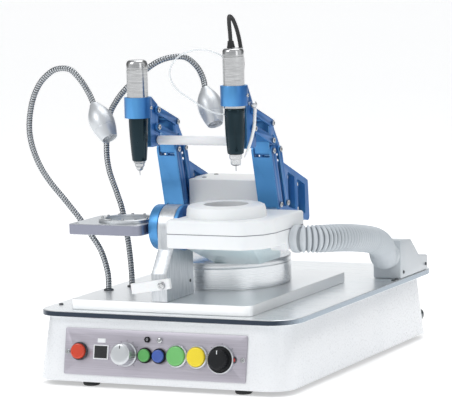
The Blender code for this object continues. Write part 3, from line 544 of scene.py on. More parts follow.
def sweep(bm, knots, spacing, sides, reach, groove=None):
    """Add a tube along a smooth path in plan mm; reach(run, angle) is its radius in mm.

    Faces whose middle radius is under groove take the second material.
    """
    points = smooth_path(knots, spacing)
    tangent = (points[1] - points[0]).normalized()
    side = tangent.orthogonal().normalized()
    rings = []
    radii = []
    run = 0.0
    for i, point in enumerate(points):
        if i:
            run += (point - points[i - 1]).length
        ahead_point = points[min(i + 1, len(points) - 1)]
        behind = points[max(i - 1, 0)]
        fresh = (ahead_point - behind).normalized()
        side = (side - fresh * side.dot(fresh)).normalized()
        other = fresh.cross(side)
        ring = []
        sizes = []
        for k in range(sides):
            angle = 2 * math.pi * k / sides
            sizes.append(reach(run, angle))
            ring.append(bm.verts.new((point + spoke(side, other, angle) * sizes[-1] + PLAN) * MM))
        rings.append(ring)
        radii.append(sizes)
    for (upper, above_r), (lower, below_r) in zip(zip(rings, radii), zip(rings[1:], radii[1:])):
        for k in range(sides):
            n = (k + 1) % sides
            face = bm.faces.new((upper[k], upper[n], lower[n], lower[k]))
            middle = (above_r[k] + above_r[n] + below_r[k] + below_r[n]) / 4
            if groove and middle < groove:
                face.material_index = 1
    bm.faces.new(rings[0][::-1])
    bm.faces.new(rings[-1])


def slab(bm, low, high, frame_matrix=None, mat_index=0, edge=0.0):
    """Add a box from low to high in mm, in plan or in a given frame, with chamfered edges."""
    made = bmesh.ops.create_cube(bm, size=1.0)["verts"]
    middle = (Vector(low) + Vector(high)) / 2
    size = Vector(high) - Vector(low)
    for vert in made:
        vert.co = Vector((vert.co.x * size.x, vert.co.y * size.y, vert.co.z * size.z)) + middle
    faces = {f for v in made for f in v.link_faces}
    for face in faces:
        face.material_index = mat_index
    if edge:
        edges = list({e for v in made for e in v.link_edges})
        made = list({v for f in bmesh.ops.bevel(bm, geom=edges, offset=edge, segments=2, profile=0.7,
                                                affect="EDGES")["faces"] for v in f.verts})
    move = frame_matrix or Matrix.Translation(PLAN)
    for vert in made:
        vert.co = (move @ vert.co) * MM


# ---- CAD nodes that keep their shape
dress("base_shell", white_paint, 0.35)
dress("bottom_plate", dark_metal, 0.3)
dress("top_plate", deck_mat, 0.0)
dress("raised_plate", dais_mat, 0.0)
dress("control_panel", panel_mat, 0.25)
dress("power_inlet", black_plastic, 0.0)
dress("suction_funnel", funnel_mat, 0.0)
dress("arm_column", machined, 0.0)
dress("upright", machined, 0.0)
dress("lock_lever", white_plastic, 0.0)
dress("model_plate", plate_metal, 0.0)
dress("block_frame", machined, 0.5)
dress("suction_tray", white_plastic, 0.0)
dress("suction_cover", white_plastic, 0.0)
dress("hose_outlet_box", box_mat, 0.0)
dress("carriage_beam", beam_white, 0.0)
for side in ("left", "right"):
    for part in ("side_frame_", "front_link_", "rear_link_", "elbow_", "upper_link_", "lower_link_",
                 "wrist_"):
        # the arms' bevels take the painted edge highlight
        dress(part + side, blue, 0.55, 2, blue_edge_highlight)

# ---- feet, bumper, inlet
for foot_name, x, y in (("foot_front_left", -125, -284), ("foot_front_right", 125, -284),
                        ("foot_rear_left", -125, 240), ("foot_rear_right", 125, 240)):
    bm = bmesh.new()
    turn(bm, [(0, 7.6), (12.6, 7.6), (13, 7.2), (13, 5.2), (12.4, 4.9), (12.4, 4.4), (13, 4.1),
        (12.6, 1.6), (11.4, 0.3), (10.4, 0.0), (5.4, 0.0), (5.0, 0.8), (0, 0.8)], at(x, y, 0))
    publish(foot_name + "_rubber", bm, rubber, "base", "black_rubber", [foot_name])

lathe(("rear_bumper_dome", gloss_black, "base", "black_rubber", ["rear_bumper"]), [(0, 24), (3, 23.7),
    (6, 22.6), (8.6, 20.6), (10.4, 17.6), (11.5, 13.5), (12.1, 8), (12.5, 2.2), (12.5, 0), (0, 0)],
    at(176, 279.45, 31), (0, 1, 0))

bm = bmesh.new()
for x, z in ((-102, 38.5), (-95, 43.5), (-88, 38.5)):
    slab(bm, (x - 0.9, 272.2, z - 2.4), (x + 0.9, 281.5, z + 2.4), edge=0.3)
for x in (-116, -74):
    screw_head(bm, at(x, 284.0, 41), (0, 1, 0), 2.6, 1.2, "cross")
publish("inlet_pins", bm, bright_metal, "base", "silver_metal")

# ---- pedestal drum and column
lathe(("turned_drum", drum_mat, "base", "brushed_aluminium", ["pedestal_drum"]), [(0, 171), (102.8, 171),
    (103.6, 170.7), (104, 169.9), (104, 163.3), (103.6, 162.7), (102.5, 162.4), (102.5, 161.8),
    (103.2, 161.4), (103.6, 160.8), (103.6, 131.2), (103.0, 130.6), (101.2, 130.4), (101.2, 128.5),
    (0, 128.5)], at(-8, -54, 0), sides=160)

bm = bmesh.new()
for x in (-22, 34):
    for y in (-66, 24):
        screw_head(bm, at(x, y, 180.4 if y > 0 else 179.6), (0, 0.4 if y > 0 else -0.4, 1), 3.6, 2.4)
for y in (-42, 6):
    for x in (-20, -4, 12, 28):
        screw_head(bm, at(x, y - 8 if y < 0 else y + 2, 243.6), (0, 0, 1), 2.2, 0.25)
publish("column_screws", bm, dark_metal, "base", "dark_steel")

# ---- upright, hub and lever
lathe(("turned_hub", blue, "tilt_table", "blue_anodised", ["tilt_hub"]), [(0, 26), (10.4, 26), (11, 25.4),
    (11, 8), (31.8, 8), (33.2, 7.5), (34, 6.4), (34, 2.2), (33.2, 1.4), (10, 1.4), (10, -24.4),
    (33.2, -24.4), (34, -25.2), (34, -37.6), (33.2, -39.4), (31.6, -40), (18.5, -40), (17.8, -39.2),
    (14.4, -39.2), (13.7, -40), (13, -40), (13, -43.7), (0, -43.7)], at(0, TILT_Y, TILT_Z), (1, 0, 0),
    sides=96)
bm = bmesh.new()
for k in range(6):
    angle = math.radians(30 + 60 * k)
    y = TILT_Y + 25 * math.cos(angle)
    z = TILT_Z + 25 * math.sin(angle)
    screw_head(bm, at(-40, y, z), (-1, 0, 0), 3.0, 2.2)
publish("hub_screws", bm, bright_metal, "tilt_table", "chrome")

bm = bmesh.new()
screw_head(bm, at(-2, -290.4, 155), (0, -1, 0), 5.2, 1.4)
publish("lever_pin", bm, bright_metal, "base", "chrome")
bm = bmesh.new()
for y, z in ((-268, 150), (-196, 150), (-196, 200)):
    screw_head(bm, at(1.0, y, z), (1, 0, 0), 2.6, 0.5)
publish("upright_screws", bm, dark_metal, "base", "dark_steel")

# ---- model plate fittings
def table_ring(name, x, outer, collar, bore):
    """A flanged ring turned to sit in its hole in the tilting table."""
    bm = bmesh.new()
    turn(bm, [(outer - 0.6, RING_TOP), (outer, RING_TOP - 0.6), (outer, 240.8), (collar, 240.8),
        (collar, 225.5), (bore, 225.5), (bore, RING_TOP - 0.8), (bore + 0.8, RING_TOP)], at(x, TILT_Y, 0),
        sides=96)
    publish("turned_" + name + "_ring", bm, ring_mat, name + "_holder", "machined_aluminium",
        [name + "_ring"])


def ring_screws(name, x, reach, count, first, radius, height, mat, slot):
    """Screws spaced evenly round a table ring."""
    bm = bmesh.new()
    for k in range(count):
        angle = math.radians(first + 360 / count * k)
        where = at(x + reach * math.cos(angle), TILT_Y + reach * math.sin(angle), RING_TOP)
        screw_head(bm, where, (0, 0, 1), radius, height)
    publish(name + "_ring_screws", bm, mat, name + "_holder", slot)


table_ring("model", MODEL_X, 43.5, 41, 33.5)
ring_screws("model", MODEL_X, 38.8, 12, 15, 2.1, 1.8, bright_metal, "chrome")
bm = bmesh.new()
for x, y in ((-153, -262), (-55, -262), (-153, -174), (-55, -174)):
    screw_head(bm, at(x, y, PLATE_TOP), (0, 0, 1), 3.2, 0.5)
publish("model_plate_screws", bm, bright_metal, "tilt_table", "chrome")
table_ring("block", BLOCK_X, 35, 32, 25)
ring_screws("block", BLOCK_X, 30, 4, 45, 2.0, 0.9, dark_metal, "dark_steel")

# ---- suction hose and outlet box
HOSE_PITCH = 6.6
hose_knots = [(159.8, -166, 214), (176, -165.8, 214), (196, -149, 213), (211, -112, 210), (219, -60, 203),
    (221, -2, 192), (212, 50, 176), (198, 90, 160), (188.6, 118, 151), (188, 138.4, 150)]
hose_path = smooth_path(hose_knots, 2.0)
hose_length = sum((q - p).length for p, q in zip(hose_path, hose_path[1:]))


def hose_reach(run, angle):
    """Cuffs at both ends, rounded ribs between them."""
    from_end = min(run, hose_length - run)
    if from_end < 9.0:
        return 20.8 if from_end > 1.2 else 20.2
    swell = 0.5 + 0.5 * math.cos(2 * math.pi * (from_end - 9.0) / HOSE_PITCH)
    return 16.6 + 4.2 * swell ** 0.7


bm = bmesh.new()
# faces down in the rib valleys take the painted valley shade
sweep(bm, hose_knots, HOSE_PITCH / 9, 48, hose_reach, 18.3)
publish("ribbed_hose", bm, hose_mat, "base", "hose_grey", ["suction_hose"], sharp=60, mats=[hose_groove_shade])

bm = bmesh.new()
for x, y in ((203.5, 120), (204, 133), (-196, 250), (-196, -240)):
    screw_head(bm, at(x, y, 112.0), (0, 0, 1), 3.4, 2.0)
for y, z in ((150, 122), (248, 122)):
    screw_head(bm, at(209, y, z), (1, 0, 0), 2.6, 1.6, "cross")
publish("deck_screws", bm, dark_metal, "base", "dark_steel")

# ---- seam of the suction housing
def rounded(corners, steps):
    """Outline points of a polygon whose corners (x, y, radius) are rounded."""
    points = []
    for i, (x, y, radius) in enumerate(corners):
        here = Vector((x, y))
        if radius <= 0:
            points.append(here)
            continue
        back = (Vector(corners[i - 1][:2]) - here).normalized()
        on = (Vector(corners[(i + 1) % len(corners)][:2]) - here).normalized()
        half = back.angle(on) / 2
        reach = radius / math.tan(half)
        centre = here + (back + on).normalized() * (radius / math.sin(half))
        first = here + back * reach - centre
        span = first.angle_signed(here + on * reach - centre)
        points += [centre + Matrix.Rotation(-span * k / steps, 2) @ first for k in range(steps + 1)]
    return points


lathe(("mouth_liner", white_plastic, "base", "white_plastic"), [(33.8, 270.25), (33.5, 270.25),
    (33.2, 269.9), (33.2, 261.0), (33.8, 261.0)], at(MOUTH_X, TILT_Y, 0), sides=96)

SEAM_OUTLINE = [(4, -283, 6), (126, -283, 20), (152, -257, 14), (159, -232, 14), (159, -124, 6),
    (11, -124, 10), (11, -256, 0), (4, -256, 0)]
outline = rounded(SEAM_OUTLINE, 3)
# painted shadow: a dark strip just inside the seam stands for the shade in the gap between cover and tray
bm = bmesh.new()
loops = []
for reach, z in ((0.16, 231.6), (0.16, 230.4), (-1.6, 230.4), (-1.6, 231.6)):
    loop = []
    for i, point in enumerate(outline):
        along = (outline[(i + 1) % len(outline)] - outline[i - 1]).normalized()
        out = point + Vector((along.y, -along.x)) * reach
        loop.append(bm.verts.new(at(out.x, out.y, z)))
    loops.append(loop)
for first, second in zip(loops, loops[1:] + loops[:1]):
    for k in range(len(outline)):
        n = (k + 1) % len(outline)
        bm.faces.new((first[k], first[n], second[n], second[k]))
publish("housing_seam_shadow", bm, seam_shadow_mat, "base", "black_rubber")

# ---- gooseneck lamps
NECK_PITCH = 3.8


def neck_reach(run, angle):
    turn_share = run / NECK_PITCH - angle / (2 * math.pi)
    return 3.85 + 0.88 * abs(math.sin(math.pi * turn_share)) ** 0.6


left_neck = [(-142, -186, 128.5), (-143, -186, 156), (-153, -186, 188), (-169, -186, 212),
    (-188, -186, 237), (-214, -185, 266), (-239, -184, 293), (-257, -183, 319), (-270, -181, 350),
    (-274, -179, 380), (-268, -177, 416), (-255, -175, 443), (-235, -174, 461), (-218, -173, 466),
    (-202, -172, 463), (-187, -171, 448), (-176, -166.5, 428), (-167, -169, 412)]
right_neck = [(-124, -142, 128.5), (-125, -142, 160), (-129, -142, 200), (-137, -142, 246),
    (-147, -139, 272), (-161, -136, 308), (-165, -134, 343), (-159, -134, 388), (-145, -134, 414),
    (-124, -133, 437), (-93, -130, 463), (-73, -126, 475), (-54, -116, 480), (-39, -105, 478),
    (-26, -96, 464), (-19.5, -89, 446), (-14, -94, 432)]
for side, knots in (("left", left_neck), ("right", right_neck)):
    bm = bmesh.new()
    # faces down in the grooves take the painted groove shade
    sweep(bm, knots, NECK_PITCH / 9, 24, neck_reach, 4.36)
    publish("spiral_neck_" + side, bm, neck_metal, "base", "chrome", ["gooseneck_" + side], sharp=180,
        mats=[neck_shade_mat])
    bm = bmesh.new()
    x, y, z = knots[0]
    turn(bm, [(5.2, 0), (7.6, 0), (7.6, 1.6), (7.0, 2.2), (5.2, 2.2)], at(x, y, 128.3), sides=48)
    publish("neck_collar_" + side, bm, dark_metal, "base", "dark_steel")

LAMP_BODY = [(5.6, 0.6), (6.6, 0.9), (7.2, 1.8), (8.4, 4.2), (10.6, 7.6), (13.2, 11.8), (15.8, 16.8),
    (17.8, 22.4), (18.9, 28.2), (19.2, 33.4), (18.9, 38.6), (18.2, 43.0), (17.7, 45.6), (17.5, 45.8),
    (17.1, 46.0), (17.1, 46.6), (17.3, 46.8), (16.6, 50.4), (15.4, 54.8), (13.9, 59.4), (12.9, 62.4),
    (12.5, 63.6), (12.0, 64.3), (11.4, 64.5), (11.0, 64.3), (10.7, 63.6), (10.2, 60.6), (0, 60.6)]
for side, top, tip in (("left", (-167, -169, 412), (-131.6, -187.3, 360.6)),
                       ("right", (-14, -94, 432), (12.8, -117.2, 377.5))):
    axis = (Vector(tip) - Vector(top)).normalized()
    start = at(*top)
    lathe(("lamp_shell_" + side, lamp_silver, "base", "silver_metal", ["lamp_head_" + side]),
        [(0, 0.6)] + LAMP_BODY, start, axis, sides=72)
    lathe(("lamp_lens_" + side, lens_mat, "base"), [(0, 61.6), (4, 61.9), (8, 61.7), (10.0, 61.1),
        (10.0, 60.7), (0, 60.7)], start, axis, sides=48)

# ---- pivots of the arms
PIVOTS = {"carriage": ((-82, 254), (-56, 254)),
          "elbows": ((-104, 338), (-78, 338), (-104, 354), (-104, 380)),
          "wrists": ((-170, 378), (-170, 404))}
for body, spots in PIVOTS.items():
    bm = bmesh.new()
    for side, x in (("left", LEFT_X), ("right", RIGHT_X)):
        outward = -1 if side == "left" else 1
        for y, z in spots:
            for way in ((outward,) if body == "carriage" else (1, -1)):
                screw_head(bm, at(x + way * 16.9, y, z), (way, 0, 0), 4.3, 2.0)
    publish("pivot_bolts_" + body, bm, bright_metal, body, "chrome")

bm = bmesh.new()
for x in (LEFT_X, RIGHT_X):
    outward = -1 if x == LEFT_X else 1
    for y in (-31, 7):
        top = 320 - (y + 68) * 41 / 101
        low = 249.4 - (y + 86.6) * 35.4 / 124.6
        turn(bm, [(7.25, top - 12), (7.25, top - 17), (6.9, top - 17.2), (6.9, top - 11.8)], at(x, y, 0),
            sides=40)
        turn(bm, [(7.25, low + 17), (7.25, low + 12), (6.9, low + 11.8), (6.9, low + 17.2)], at(x, y, 0),
            sides=40)
publish("spring_rings", bm, bright_metal, "carriage", "chrome")

bm = bmesh.new()
for x in (LEFT_X, RIGHT_X):
    screw_head(bm, at(x, -72.3, 300), (0, -1, 0.15), 5.0, 5.0)
    screw_head(bm, at(x, 26, 282.4), (0, 0.38, 1), 3.4, 2.4)
for x in (-40, 52):
    for y in (-50, -6):
        screw_head(bm, at(x, y, 289.0), (0, 0, 1), 3.6, 0.8)
publish("carriage_screws", bm, dark_metal, "carriage", "dark_steel")

# ---- cross tube
bm = bmesh.new()
length = RIGHT_X - LEFT_X - 2 * (12.5 + 0.3)
turn(bm, [(0, 0), (4.6, 0), (6.3, 0.8), (7, 2.6), (7, length - 2.6), (6.3, length - 0.8), (4.6, length),
    (0, length)], at(LEFT_X + 12.8, TUBE_Y, 358), (1, 0, 0), sides=64)
publish("white_cross_tube", bm, white_plastic, "wrists", "white_plastic", ["cross_tube"])

# ---- tracer
lathe(("tracer_tube", chrome, "wrists", "chrome", ["tracer_body"]), [(0, 482), (11.2, 482), (13.2, 481.3),
    (15.0, 479.2), (16, 476.0), (16, 468.6), (15.5, 468.1), (15.5, 467.5), (16, 467.0), (16, 430),
    (16, 402.4), (15.4, 401.9), (15.4, 401.2), (16, 400.7), (16, 395.3), (0, 395.3)], at(LEFT_X,
    SPINDLE_Y, 0), sides=96)
bm = bmesh.new()
turn(bm, [(0, 395), (14.0, 395), (14.6, 394.4), (14.6, 389), (14.3, 381), (13.9, 370), (13.4, 360),
    (12.6, 349), (11.8, 339), (11.1, 332), (10.6, 330.4), (9.6, 329.6), (0, 329.6)],
    at(LEFT_X, SPINDLE_Y, 0), sides=72)
turn(bm, [(0, 329.5), (8.8, 329.5), (8.9, 327.6), (8.2, 326.4), (7.6, 326.0), (7.4, 322.4), (6.5, 321.2),
    (5.6, 320.8), (5.3, 318.0), (3.6, 315.6), (1.6, 314.8), (0.9, 314.4), (0.85, 308.4), (0.4, 307.7),
    (0, 307.6)], at(LEFT_X, SPINDLE_Y, 0), sides=48, mat_index=1)
publish("tracer_cone", bm, gloss_black, "wrists", "black_plastic", ["tracer_nose"], mats=[bright_metal])

# ---- milling spindle
lathe(("spindle_tube", chrome, "wrists", "chrome", ["mill_body"]), [(0, 500), (11.2, 500), (13.6, 499.4),
    (15.2, 497.8), (16, 495.2), (16, 488.6), (15.5, 488.1), (15.5, 487.5), (16, 487.0), (16, 450),
    (16, 415.0), (16.6, 414.6), (16.6, 411.8), (16.2, 411.3), (0, 411.3)], at(RIGHT_X, SPINDLE_Y, 0),
    sides=96)


def grip(angle, height):
    """Long hollows round the handle."""
    if not 348 < height < 402:
        return 1.0
    window = math.sin(math.pi * (height - 348) / 54) ** 0.5
    return 1.0 - 0.20 * window * max(0.0, math.cos(5 * angle - 1.1)) ** 1.6


bm = bmesh.new()
handle = [(0, 411), (14.2, 411), (14.8, 410.4), (15.2, 407.6), (15.2, 404)]
for k in range(1, 30):
    height = 404 - 2 * k
    handle.append((15.2 - (404 - height) * 0.0245 - max(0, 372 - height) * 0.055, height))
handle += [(12.0, 344.2), (11.4, 343.5), (0, 343.5)]
turn(bm, handle, at(RIGHT_X, SPINDLE_Y, 0), sides=120, shape=grip)
publish("spindle_handle", bm, gloss_black, "wrists", "black_plastic", ["mill_nose"], sharp=50)


def flats(angle, height):
    return 1.0 - 0.09 * max(0.0, math.cos(4 * angle)) ** 3 if height > 334.5 else 1.0


lathe(("collet_and_bur", bright_metal, "bur", "chrome", ["mill_bur"]), [(0, 343.2), (9.0, 343.2),
    (9.6, 342.6), (9.6, 336.8), (9.3, 336.2), (8.2, 335.9), (7.6, 334), (7.6, 328.2), (7.0, 327.2),
    (5.5, 326.2), (3.0, 325.4), (1.2, 325.2), (1.2, 318.6), (0.9, 317.2), (0, 316.8)], at(RIGHT_X,
    SPINDLE_Y, 0), sides=64, shape=flats)

x = RIGHT_X
bm = bmesh.new()
sweep(bm, [(x - 3, SPINDLE_Y, 500.7), (x - 4, SPINDLE_Y, 520), (x - 7, SPINDLE_Y + 4, 538),
    (x - 10, SPINDLE_Y + 13, 546), (x - 8, SPINDLE_Y + 23, 538), (x - 3, SPINDLE_Y + 28, 515),
    (x + 2, SPINDLE_Y + 28, 480), (x + 3, SPINDLE_Y + 23, 458), (x + 3, -184.5, 445.4)], 1.2, 20,
    lambda run, angle: 3.0 + 0.14 * math.cos(2 * math.pi * run / 3.6 + 2 * angle))
publish("spindle_lead", bm, rubber, "wrists", "black_rubber", ["spindle_cable"], sharp=180)
lathe(("lead_boot", rubber, "wrists", "black_rubber"), [(3.7, 10.4), (4.6, 10.4), (4.7, 8.6), (4.3, 8.3),
    (4.9, 7.9), (5.1, 6.1), (4.7, 5.8), (5.3, 5.4), (5.5, 3.5), (5.1, 3.2), (5.8, 2.8), (6.1, 0.3),
    (3.7, 0.3)], at(x - 3, SPINDLE_Y, 500), (-0.05, 0, 1), sides=40)

bm = bmesh.new()
sweep(bm, [(x - 16.9, SPINDLE_Y, 487), (x - 26, SPINDLE_Y, 492), (x - 44, SPINDLE_Y, 497),
    (x - 66, SPINDLE_Y, 496), (x - 88, SPINDLE_Y, 488), (x - 102, SPINDLE_Y, 472),
    (x - 104, SPINDLE_Y, 456), (x - 94, SPINDLE_Y, 439), (x - 72, SPINDLE_Y, 424),
    (x - 46, SPINDLE_Y, 409), (x - 28, SPINDLE_Y, 402.5), (x - 16.2, SPINDLE_Y, 402)], 3.0, 14,
    lambda run, angle: 1.5)
publish("clear_coolant_tube", bm, clear_plastic, "wrists", "clear_tube", ["coolant_tube"], sharp=180)

nozzle_x = x + 12.5 + 8.5
bm = bmesh.new()
sweep(bm, [(nozzle_x - 8, -182, 416), (nozzle_x - 1, -182, 416), (nozzle_x + 2, -183, 411),
    (nozzle_x + 3, -186, 400), (nozzle_x + 3.5, -190, 384), (nozzle_x + 1, -195, 366),
    (nozzle_x - 3, -200, 350), (nozzle_x - 8, -202, 338)], 1.5, 18, lambda run,
    angle: 2.4 - (0.9 * max(0.0, run - 72) / 12 if run > 72 else 0.0))
publish("white_nozzle_tube", bm, white_plastic, "wrists", "white_plastic", ["coolant_nozzle"], sharp=180)
lathe(("nozzle_knob", silver, "wrists", "silver_metal"), [(0, 6.5), (2.4, 6.2), (4.2, 5.0), (5.2, 3.0),
    (5.5, 0.8), (5.2, -1.4), (4.0, -3.4), (2.6, -4.2), (0, -4.4)], at(nozzle_x + 0.5, -184, 414), (0.3,
    -0.6, 0.75), sides=40)

# clamp screws on the two spindle rings
bm = bmesh.new()
for centre_x, z in ((LEFT_X, 410), (RIGHT_X, 430)):
    screw_head(bm, at(centre_x + 19.9, SPINDLE_Y + 2, z), (1, 0.1, 0), 3.0, 2.2)
publish("clamp_screws", bm, bright_metal, "wrists", "chrome")

# ---- control panel
LEAN = math.atan2(18.0, 95.2 + 0.3)
PANEL_AT = Vector((-12.0, -296.61, 52.5)) + PLAN
panel_up = Vector((0.0, math.sin(LEAN), math.cos(LEAN)))
panel_out = Vector((0.0, -math.cos(LEAN), math.sin(LEAN)))
PANEL_FRAME = Matrix(((1.0, 0.0, 0.0, PANEL_AT.x),
                      (0.0, panel_up.y, panel_out.y, PANEL_AT.y),
                      (0.0, panel_up.z, panel_out.z, PANEL_AT.z),
                      (0.0, 0.0, 0.0, 1.0)))
FACE = 2.0


def on_panel(x, v, h=FACE):
    return (PANEL_FRAME @ Vector((x, v, h))) * MM


def panel_turn(bm, profile, x, v, **more):
    """A piece turned about the panel's normal at a point of the panel."""
    turn(bm, profile, on_panel(x, v, 0), panel_out, **more)


def button(name, x, v, radius, height, mat, slot, bezel_out, bezel_mat, under=5.1):
    """A domed cap on its stem, and the bezel it sinks into."""
    top = under + height
    bm = bmesh.new()
    panel_turn(bm, [(0, top - 0.3), (radius * 0.55, top - 0.25), (radius - 2.4, top),
        (radius - 1.2, top - 0.2), (radius - 0.4, top - 0.9), (radius, top - 2.0), (radius, under),
        (radius * 0.6, under), (radius * 0.6, -8), (0, -8)], x, v, sides=72)
    publish(name + "_cap", bm, mat, name, slot, [name])
    bm = bmesh.new()
    panel_turn(bm, [(radius + 0.5, FACE + 0.1), (radius + 0.5, 6.2), (radius + 0.9, 6.6),
        (bezel_out - 1.0, 6.0), (bezel_out - 0.2, 5.0), (bezel_out, FACE + 0.1)], x, v, sides=72)
    publish(name + "_bezel", bm, bezel_mat, "base", "silver_metal")


button("stop_button", -124, 0, 11.5, 6, red_plastic, "red_plastic", 13.6, dark_metal)
button("small_green_button", -15, -1.5, 9.5, 4.5, dark_green, "green_plastic", 11.6, black_plastic)
button("small_blue_button", 8, -1.5, 9.5, 4.5, blue_plastic, "blue_plastic", 11.4, black_plastic)
button("green_button", 37, 0, 14.5, 5, green_plastic, "green_plastic", 17.2, silver)
button("yellow_button", 70, 0, 14.5, 5, yellow_plastic, "yellow_plastic", 17.2, silver)


def knurl(count, depth, low, high):
    def shape(angle, height):
        if not low < height < high:
            return 1.0
        return 1.0 - depth * (0.5 + 0.5 * math.cos(count * angle))
    return shape


bm = bmesh.new()
panel_turn(bm, [(0, 26), (9, 26), (13.2, 26), (14.6, 25.5), (15.8, 24.2), (16.1, 23), (16.3, 20),
    (16.4, 14), (16.5, 8), (17.2, 6.4), (18, 5.8), (18, 2.6), (4, 2.6), (4, -10), (0, -10)], -46, -1.5,
    sides=144, shape=knurl(36, 0.03, 7, 23.5))
slab(bm, (-46 - 0.7, 6.5, 25.9), (-46 + 0.7, 11.5, 26.25), PANEL_FRAME, mat_index=1)
publish("silver_knob", bm, silver, "speed_knob", "silver_metal", ["speed_knob"], mats=[dark_metal])

bm = bmesh.new()
panel_turn(bm, [(0, 19.6), (8, 19.7), (12.0, 20), (13.6, 19.4), (14.6, 18.2), (15, 16.5), (15, 7.2),
    (18.2, 6.4), (19, 5.4), (19, 2.6), (4, 2.6), (4, -10), (0, -10)], 109, -2, sides=144,
    shape=knurl(24, 0.035, 7.4, 18.0))
slab(bm, (109 - 0.6, 5.5, 19.7), (109 + 0.6, 11.0, 20.15), PANEL_FRAME, mat_index=1)
publish("black_knob", bm, black_plastic, "mode_knob", "black_plastic", ["mode_knob"],
    mats=[white_plastic])
bm = bmesh.new()
panel_turn(bm, [(19.3, 2.1), (19.3, 7.8), (20.0, 8.2), (21.0, 7.4), (21.4, 2.1)], 109, -2, sides=72)
publish("mode_bezel", bm, silver, "base", "silver_metal")

# counter window, blank tag, sockets, indicator and screws
bm = bmesh.new()
slab(bm, (-88 - 12.4, 0.3 - 10.8, 2.1), (-88 + 12.4, 0.3 + 10.8, 3.5), PANEL_FRAME, edge=0.4)
slab(bm, (-88 - 10.8, 0.3 - 9.4, 3.3), (-88 + 10.8, 0.3 + 9.4, 3.9), PANEL_FRAME, mat_index=1, edge=0.2)
slab(bm, (-88 - 6.6, 14.2, 2.1), (-88 + 6.6, 20.6, 2.7), PANEL_FRAME, edge=0.2)
publish("counter_window", bm, white_plastic, "base", "white_plastic", mats=[display_glass])

bm = bmesh.new()
panel_turn(bm, [(2.4, 2.1), (2.4, 5.2), (3.0, 5.6), (4.2, 5.4), (4.8, 4.6), (4.9, 2.1)], -12.5, 22,
    sides=6)
panel_turn(bm, [(1.3, 2.1), (1.3, 4.2), (2.3, 4.2), (2.3, 2.1)], -12.5, 22, sides=32, mat_index=1)
panel_turn(bm, [(0, 7.6), (1.6, 7.4), (2.2, 6.6), (2.2, 5.4), (3.4, 5.2), (4.6, 4.4), (4.8, 2.1),
    (0, 2.1)], 8, 21.6, sides=6, mat_index=1)
publish("panel_sockets", bm, black_plastic, "base", "black_plastic", mats=[bright_metal])

bm = bmesh.new()
panel_turn(bm, [(3.7, 2.1), (3.7, 3.8), (4.2, 4.2), (5.1, 3.8), (5.4, 2.1)], 128.5, -1.5, sides=48)
panel_turn(bm, [(0, 6.0), (1.5, 5.7), (2.7, 5.0), (3.5, 3.9), (3.6, 2.1), (0, 2.1)], 128.5, -1.5,
    sides=48, mat_index=1)
publish("panel_indicator", bm, dark_metal, "base", "dark_steel", mats=[red_lens])

bm = bmesh.new()
for x, v in ((-143.5, -1.5), (143.5, -1.5)):
    screw_head(bm, on_panel(x, v, 2.0), panel_out, 4.0, 2.0, "cross")
publish("panel_screws", bm, bright_metal, "base", "chrome")

# dial marks round the two knobs
bm = bmesh.new()
for centre, v, inner, outer, spread, count in ((-46, -1.5, 19.6, 22.0, 140, 11),
                                               (109, -2, 22.6, 24.6, 45, 3)):
    for k in range(count):
        angle = math.radians(90 - spread + 2 * spread * k / (count - 1))
        way = Vector((math.cos(angle), math.sin(angle)))
        across = Vector((-way.y, way.x)) * 0.32
        middle = Vector((centre, v))
        corners = [middle + way * inner + across, middle + way * outer + across,
            middle + way * outer - across, middle + way * inner - across]
        low = [bm.verts.new(on_panel(c.x, c.y, 2.02)) for c in corners]
        high = [bm.verts.new(on_panel(c.x, c.y, 2.14)) for c in corners]
        bm.faces.new(high)
        bm.faces.new(low[::-1])
        for i in range(4):
            bm.faces.new((low[i], low[(i + 1) % 4], high[(i + 1) % 4], high[i]))
publish("dial_marks", bm, dark_metal, "base", "dark_steel")

# ---- floor
floor_mesh = bpy.data.meshes.new("studio_floor")
floor_mesh.from_pydata([(-40, -40, -0.0002), (40, -40, -0.0002), (40, 80, -0.0002), (-40, 80, -0.0002)],
                       [], [(0, 1, 2, 3)])
floor_mat = plain("studio_white", (0.92, 0.92, 0.92), (0.94, 0.94, 0.94), (0.7, 0.8), grain=3.0,
    relief=0.0, patch=0.4, Emission_Color=(1, 1, 1, 1), Emission_Strength=0.45)
floor_mesh.materials.append(floor_mat)
floor = add("studio_floor", floor_mesh)

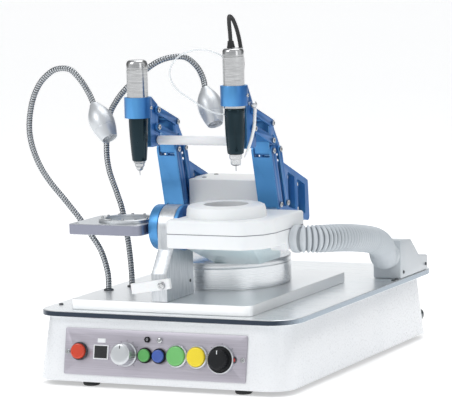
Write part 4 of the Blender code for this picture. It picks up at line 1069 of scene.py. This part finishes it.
# ---- light
world = bpy.data.worlds.new("studio")
bpy.context.scene.world = world
world.use_nodes = True
BRIGHT_SIDE = math.radians(115)     # azimuth that the light's pattern is measured from
parts = node(world, "ShaderNodeSeparateXYZ")
wire(world, node(world, "ShaderNodeTexCoord").outputs["Generated"], parts.inputs[0])
turning = node(world, "ShaderNodeMath", operation="ARCTAN2")
wire(world, parts.outputs["Y"], turning.inputs[0])
wire(world, parts.outputs["X"], turning.inputs[1])
last = turning
for operation, amount in (("SUBTRACT", BRIGHT_SIDE), ("MULTIPLY", 0.5), ("SINE", None), ("ABSOLUTE", None)):
    step = node(world, "ShaderNodeMath", operation=operation)
    if amount is not None:
        step.inputs[1].default_value = amount
    wire(world, last.outputs[0], step.inputs[0])
    last = step
level = node(world, "ShaderNodeValToRGB")
while len(level.color_ramp.elements) < 6:
    level.color_ramp.elements.new(0.5)
for stop, (place_on, value) in zip(level.color_ramp.elements,
                                   ((0.0, 0.90), (0.16, 0.90), (0.26, 0.18), (0.56, 0.20),
                                    (0.74, 0.78), (1.0, 0.62))):
    stop.position = place_on
    stop.color = (value, value, value, 1.0)
wire(world, last.outputs[0], level.inputs["Fac"])
backdrop = world.node_tree.nodes["Background"]
wire(world, level.outputs["Color"], backdrop.inputs["Strength"])
backdrop.inputs["Color"].default_value = (0.97, 0.985, 1.0, 1.0)


def softbox(name, place_at, size, power):
    """A rectangular lamp pointed at the middle of the machine."""
    data = bpy.data.lights.new(name, "AREA")
    data.shape = "RECTANGLE"
    data.size = size[0]
    data.size_y = size[1]
    data.energy = power
    lamp = add(name, data)
    lamp.location = place_at
    lamp.rotation_euler = (Vector((0, 0, 0.2)) - Vector(place_at)).to_track_quat("-Z", "Y").to_euler()


softbox("key", (-1.3, -1.9, 1.9), (1.2, 1.2), 17.0)
softbox("fill", (2.2, -1.2, 1.2), (0.8, 1.6), 4.0)
softbox("top", (0.2, 0.4, 2.4), (1.8, 1.8), 21.0)
bpy.context.scene.view_settings.view_transform = "Standard"

# ---- hand over
bpy.context.view_layer.update()
